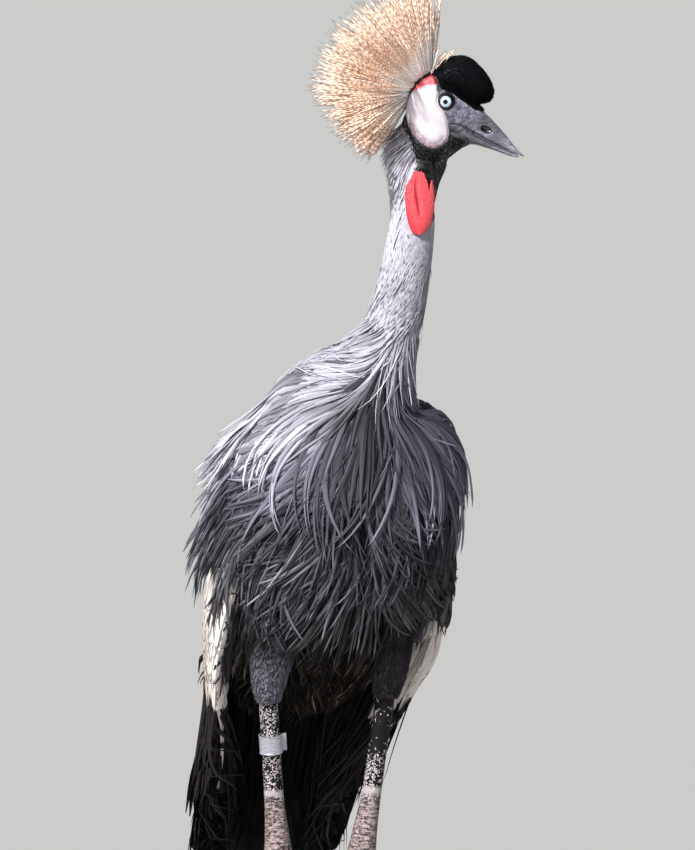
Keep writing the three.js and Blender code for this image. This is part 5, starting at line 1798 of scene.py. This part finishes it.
def wattle():
    across, down = 96, 56
    u = np.linspace(-1, 1, across)[:, None]
    top = WATTLE_TOP - np.interp(u, [-1, -0.7, -0.45, 0.25, 0.42, 0.56, 0.64, 0.74, 0.86, 1],
                                 [15, 7, 0, 0, 8, 18, 18, 12, 9, 17])
    top = top - 2.0 * np.abs(np.sin(u * 22)) * smooth(0.95, 0.6, np.abs(u))
    v = np.linspace(0, 1, down)[None]
    z = top + (WATTLE_BOTTOM - top) * v
    share = (WATTLE_TOP - z) / (WATTLE_TOP - WATTLE_BOTTOM)
    outline = [0, 0.16, 0.41, 0.62, 0.8, 0.9, 0.96, 1.0]
    half = np.interp(share, outline, [12.5, 13.8, 15.2, 14.4, 12.2, 9.8, 7.4, 2.8])
    middle = np.interp(share, outline, [56.4, 57.2, 56.1, 55.7, 55.4, 55.0, 54.4, 53.8])
    front = np.interp(share, [0, 0.3, 0.6, 1], [-121.5, -126.0, -129.5, -131.0])
    x = middle + u * half
    groove = np.exp(-((u + 0.22 - 0.5 * (share - 0.5)) / 0.13) ** 2)
    groove = groove * smooth(0.05, 0.3, share) * smooth(0.8, 0.5, share)
    ripple = 0.3 * np.sin(u * 30 + 4 * share) * smooth(0.6, 0.1, share) * smooth(0.3, -0.3, u)
    swell = 2.6 * np.sqrt(np.clip(1 - u ** 2, 0, 1)) * smooth(1.0, 0.8, share)
    y_front = front + 3.2 * u ** 2 - swell + 2.2 * groove + ripple
    y_back = front + 3.2 * u ** 2 + 1.6 * np.sqrt(np.clip(1 - u ** 2, 0, 1)) + 0.4
    face = np.stack([x, y_front, z], -1)
    back = np.stack([x, y_back, z], -1)
    ring = np.concatenate([face, back[:, ::-1]], 1)
    light = 0.5 + 0.5 * u * np.ones_like(v)
    colour = mix(rgb(205, 50, 60), rgb(226, 88, 96), light)
    # Painted shade: the groove between the lobes is tinted a darker red.
    colour = mix(colour, rgb(150, 26, 36), np.clip(groove, 0, 1) * 0.8)
    edge = smooth(0.72, 0.98, np.abs(u)) * np.ones_like(v)
    colour = mix(colour, rgb(190, 44, 54), edge * 0.6)
    tint = np.concatenate([colour, colour[:, ::-1]], 1).reshape(-1, 3)
    piece = loft("wattle_lobe", ring, {"tint": tint})
    dress(piece, wattle_look(), "wattle", "wattle")


def wattle_look():
    look = Look("wattle", Roughness=0.5, Specular_IOR_Level=0.45, Subsurface_Weight=0.15,
                Subsurface_Scale=0.004)
    cells = look.cells(look.place(), 900.0)
    look.feed("Base Color", look.scaled(look.tint(), look.line(cells, 0.9, 0.6)))
    look.feed("Normal", look.bump(cells, 0.7, 0.0006))
    return look.material


wattle()


# Legs and feet: bare scaly skin, with broad plates down the front and on the toes


def raised(form, t, angle, rings, lift):
    """Rings of a form with their points lifted off it, and none of them under the floor."""
    rings = rings + unit(form.at(t, angle, 1.0) - rings) * lift[..., None]
    rings[..., 2] = np.maximum(rings[..., 2], 0.05)
    return rings


def plates(run, spacing):
    """0 in the grooves between broad scales along a run, and 1 on them."""
    return np.abs(np.sin(np.pi * run / spacing)) ** 0.35


def leg_rings(side):
    _, form = legs_of(side)
    t, angle = ring_places(360, 48)
    rings = form.at(t, angle)
    z = rings[..., 2]
    front = smooth(0.2, 0.8, -np.sin(angle))
    lower = smooth(200, 176, z) * smooth(12, 22, z)
    upper = smooth(300, 270, z) * smooth(205, 215, z)
    wrinkle = 0.35 * np.abs(np.sin(np.pi * z / 2.6 + 0.6 * np.sin(3 * angle))) ** 0.5
    lift = (plates(z, 4.6) - 1) * 0.7 * front * lower + wrinkle * upper * 0.8 - 0.25 * upper
    return raised(form, t, angle, rings, lift)


def toe_rings(side, turn, reach):
    """The toe's rings, the way it points and the place on the floor that it starts from."""
    turn = math.radians(turn) * side
    way = np.array([math.sin(turn), -math.cos(turn), 0])
    root = np.array([side * FOOT[0], FOOT[1], 0])
    pads = round(reach / 26)
    rows = [(-3, 11, 1.35), (reach * 0.2, 8.4, 1.22)]
    for share in 0.2 + 0.8 * np.arange(1, pads + 1) / pads:
        rows += [(reach * (share - 0.4 / pads), 4.3, 0.82), (reach * share, 4.5, 1 - 0.2 * share)]
    form = toe_form(root, way, [(d, z, TOE_RADIUS * size, TOE_RADIUS * size * 0.92) for d, z, size in rows])
    t, angle = ring_places(110, 28)
    rings = form.at(t, angle)
    top = smooth(0.0, 0.5, np.abs(np.sin(angle)) * (rings[..., 2] > 5))
    lift = (plates((rings - root) @ way, 3.4) - 1) * 0.5 * top
    return raised(form, t, angle, rings, lift), way, root


def toe_form(root, way, rows):
    """A form that runs out from a foot's middle, from rows of (distance, height, half width, half height)."""
    sizes = [[*(root + way * distance)[:2], *rest] for distance, *rest in rows]
    return Form(sizes, np.cross(way, [0, 0, 1]))


def leg_look():
    """Black skin broken up by small pale scales, with a pale ring over the brown, wrinkled ankle."""
    look = Look("scaly_skin", Roughness=0.6, Specular_IOR_Level=0.2)
    place = look.place()
    parts = look.add("SeparateXYZ", Vector=place)
    across, height = parts["X"], parts["Z"]
    warped = look.vectors("ADD", place, look.scaled(look.noise(place, 420.0, 2.0, "Color"), 0.0028))
    edge = look.cells(warped, 760.0, set_feature="DISTANCE_TO_EDGE")
    pick = look.add("SeparateColor", Color=look.cells(warped, 760.0, "Color"))[0]
    cloud = look.noise(place, 75.0, 3.0)
    # Painted shade: the left leg's upper half, on the shaded side, has fewer pale scales and is darker.
    dark = look.times(look.span(across, -0.03, 0.0), look.span(height, 0.30, 0.335))
    limit = look.plus(0.62, look.times(dark, 0.4))
    limit = look.minus(limit, look.times(look.minus(cloud, 0.5), 1.3))
    pale = look.times(look.maths("GREATER_THAN", pick, limit), look.maths("GREATER_THAN", edge, 0.08))
    upper = look.blend(pale, rgb(15, 13, 14), rgb(214, 204, 206))
    folds = look.times(look.noise(look.stretched(place, (0.2, 0.2, 1.0)), 640.0, 4.0), 0.7)
    folds = look.plus(folds, look.times(look.noise(place, 260.0, 4.0), 0.3))
    brown = look.ramp(folds, (0.4, rgb(20, 16, 17)), (0.47, rgb(92, 78, 78)), (0.6, rgb(166, 148, 148)))
    flecks = look.times(look.maths("GREATER_THAN", pick, 0.78), 0.45)
    lower = look.blend(flecks, brown, rgb(206, 190, 190))
    where = look.plus(height, look.times(cloud, 0.012))
    both = look.blend(look.span(where, 0.282, 0.272), upper, lower)
    ring = look.span(look.maths("ABSOLUTE", look.minus(where, 0.284)), 0.005, 0.002, 0.0, 0.75)
    ringed = look.blend(ring, both, rgb(190, 182, 182))
    foot = look.times(look.span(height, 0.19, 0.13), 0.85)
    look.feed("Base Color", look.blend(foot, ringed, rgb(52, 47, 46)))
    look.feed("Normal", look.bump(look.span(edge, 0.0, 0.15), 0.5, 0.0005))
    return look.material


def claw_look():
    """Dark horn with a fine grain and paler worn patches."""
    look = Look("claw_horn", Roughness=0.4)
    place = look.place()
    worn = look.noise(place, 300.0, 5.0)
    look.feed("Base Color", look.ramp(worn, (0.35, rgb(36, 32, 31)), (0.7, rgb(84, 76, 72))))
    look.feed("Normal", look.bump(look.noise(place, 1400.0, 4.0), 0.3, 0.0003))
    return look.material


def legs():
    scaly, claw_horn = leg_look(), claw_look()
    for side, label in ((1, "left"), (-1, "right")):
        pieces, claws = [loft(f"leg_{label}", leg_rings(side))], []
        for name, (turn, reach, claw) in TOES.items():
            rings, way, root = toe_rings(side, turn, reach)
            pieces.append(loft(f"toe_{name}", rings))
            claws.append(claw_piece(f"claw_{name}", root, way, reach, claw))
        foot = joined(f"leg_{label}", pieces)
        dress(foot, scaly, "leg_skin", f"shank_{label}", f"tarsus_{label}", f"foot_{label}")
        dress(joined(f"claws_{label}", claws), claw_horn, "claw", *(f"claw_{name}_{label}" for name in TOES))


def claw_piece(name, root, way, reach, claw):
    rows = [(-3.5, 4.8, 3.3), (claw * 0.15, 5.6, 3.0), (claw * 0.45, 5.2, 2.3), (claw * 0.75, 4.0, 1.4),
            (claw - 0.5, 2.4, 0.3)]
    form = toe_form(root, way, [(reach + d, z, size * 0.8, size) for d, z, size in rows])
    rings = form.rings(40, 24)
    rings[..., 2] = np.maximum(rings[..., 2], 0.1)
    return loft(name, rings)


legs()

# Leg band: a thin metal ring with rolled edges, closed by a small tab


def leg_band():
    shank = legs_of(-1)[1]
    value, along, _, _ = shank.frame(np.array(BAND["share"]))
    inner, outer, half = BAND["radius"], BAND["radius"] + BAND["wall"], BAND["height"] / 2
    rim = outer + BAND["roll"]
    profile = [(inner, -half), (rim, -half), (rim, -half + 0.8), (outer, -half + 1.4),
               (outer, half - 1.4), (rim, half - 0.8), (rim, half), (inner, half)]
    sides, turns = len(profile), 96
    turn = np.linspace(0, 2 * np.pi, turns, endpoint=False)[:, None]
    radius, level = np.array(profile).T
    ring = np.stack([radius * np.cos(turn), radius * np.sin(turn), level * np.ones_like(turn)], -1)
    ring = ring.reshape(-1, 3)
    one = np.arange(turns)[:, None] * sides + np.arange(sides)
    after = np.roll(one, -1, 0)
    quads = np.stack([one, np.roll(one, -1, 1), np.roll(after, -1, 1), after], -1).reshape(-1, 4)
    tab = BAND["tab"]
    rows = ((outer - 0.3, 1.1), (outer + tab * 0.4, 1.0), (outer + tab, 0.9), (outer + tab, 0.9))
    flange = np.array([
        [x, sx * wide, sz * (half - 0.6)]
        for x, wide in rows
        for sx, sz in ((-1, -1), (1, -1), (1, 1), (-1, 1))
    ])
    faces = face_outwards(ring, [quads]) + [len(ring) + f for f in face_outwards(flange, closed_faces(4, 4))]
    z_axis = -along
    x_axis = unit(np.array([1.0, 0, 0]) - z_axis * z_axis[0])
    axes = np.stack([x_axis, np.cross(z_axis, x_axis), z_axis])
    piece = make_mesh("ring_band", np.vstack([ring, flange]) @ axes + value[:3], faces)
    piece.data.polygons.foreach_set("use_smooth", np.zeros(len(piece.data.polygons), bool))
    dress(piece, band_look(), "band", "leg_band")


def band_look():
    """Dull metal with fine scratches round it."""
    look = Look("band_metal", Metallic=0.55)
    scratch = look.noise(look.stretched(look.place(), (1.0, 1.0, 14.0)), 240.0, 8.0)
    look.feed("Base Color", look.ramp(scratch, (0.3, rgb(132, 132, 142)), (0.62, rgb(204, 203, 214))))
    look.feed("Roughness", look.line(scratch, 0.35, 0.18))
    look.feed("Normal", look.bump(scratch, 0.15, 0.0003))
    return look.material


leg_band()

# Floor, light and camera
FLOOR_HALF = 60.0
FLOOR_COLOUR = (0.4, 0.4, 0.39, 1)
SKY_COLOUR = (0.86, 0.9, 0.96, 1)
SKY_STRENGTH = 0.3
SUNS = [
    # Name, the way it shines, power, angular size in degrees, colour
    ("key", (0.40, 0.76, -0.66), 5.9, 6, (1, 0.98, 0.97)),
    ("fill", (0.6, 0.8, -0.06), 0.6, 60, (0.94, 0.97, 1)),
    ("rim", (-0.1, -0.9, -0.6), 0.25, 40, (1, 1, 1)),
]


def stage():
    half = FLOOR_HALF
    mesh = bpy.data.meshes.new("floor")
    corners = [(-half, -half, 0), (half, -half, 0), (half, half, 0), (-half, half, 0)]
    mesh.from_pydata(corners, [], [(0, 1, 2, 3)])
    mesh.materials.append(Look("floor_pale", Roughness=0.95, Base_Color=FLOOR_COLOUR).material)
    in_scene("floor", mesh)
    backdrop = bpy.data.worlds.new("studio")
    backdrop.use_nodes = True
    sky = backdrop.node_tree.nodes["Background"]
    sky.inputs["Color"].default_value = SKY_COLOUR
    sky.inputs["Strength"].default_value = SKY_STRENGTH
    bpy.context.scene.world = backdrop


def sun(name, way, power, softness, colour):
    """A distant soft light that shines along `way`."""
    light = bpy.data.lights.new(name, "SUN")
    light.energy = power
    light.angle = math.radians(softness)
    light.color = colour
    in_scene(name, light).rotation_euler = Vector(way).to_track_quat("-Z", "Y").to_euler()


def camera():
    lens = bpy.data.cameras.new("camera")
    lens.sensor_width = SENSOR
    lens.sensor_fit = "AUTO"
    frame_height = FRAME_PIXELS[1] * MM_PER_PIXEL / 1000
    lens.lens = SENSOR * CAMERA_DISTANCE / frame_height
    lens.clip_end = CAMERA_REACH
    piece = in_scene("camera", lens)
    target = Vector(((AIM[0] + SHIFT[0]) / 1000, SHIFT[1] / 1000, (AIM[1] + SHIFT[2]) / 1000))
    back = Vector((0, -math.cos(CAMERA_ELEVATION), math.sin(CAMERA_ELEVATION)))
    piece.location = target + back * CAMERA_DISTANCE
    piece.rotation_euler = (-back).to_track_quat("-Z", "Y").to_euler()
    bpy.context.scene.camera = piece


stage()
for row in SUNS:
    sun(*row)
camera()
bpy.context.scene.view_settings.view_transform = "Standard"
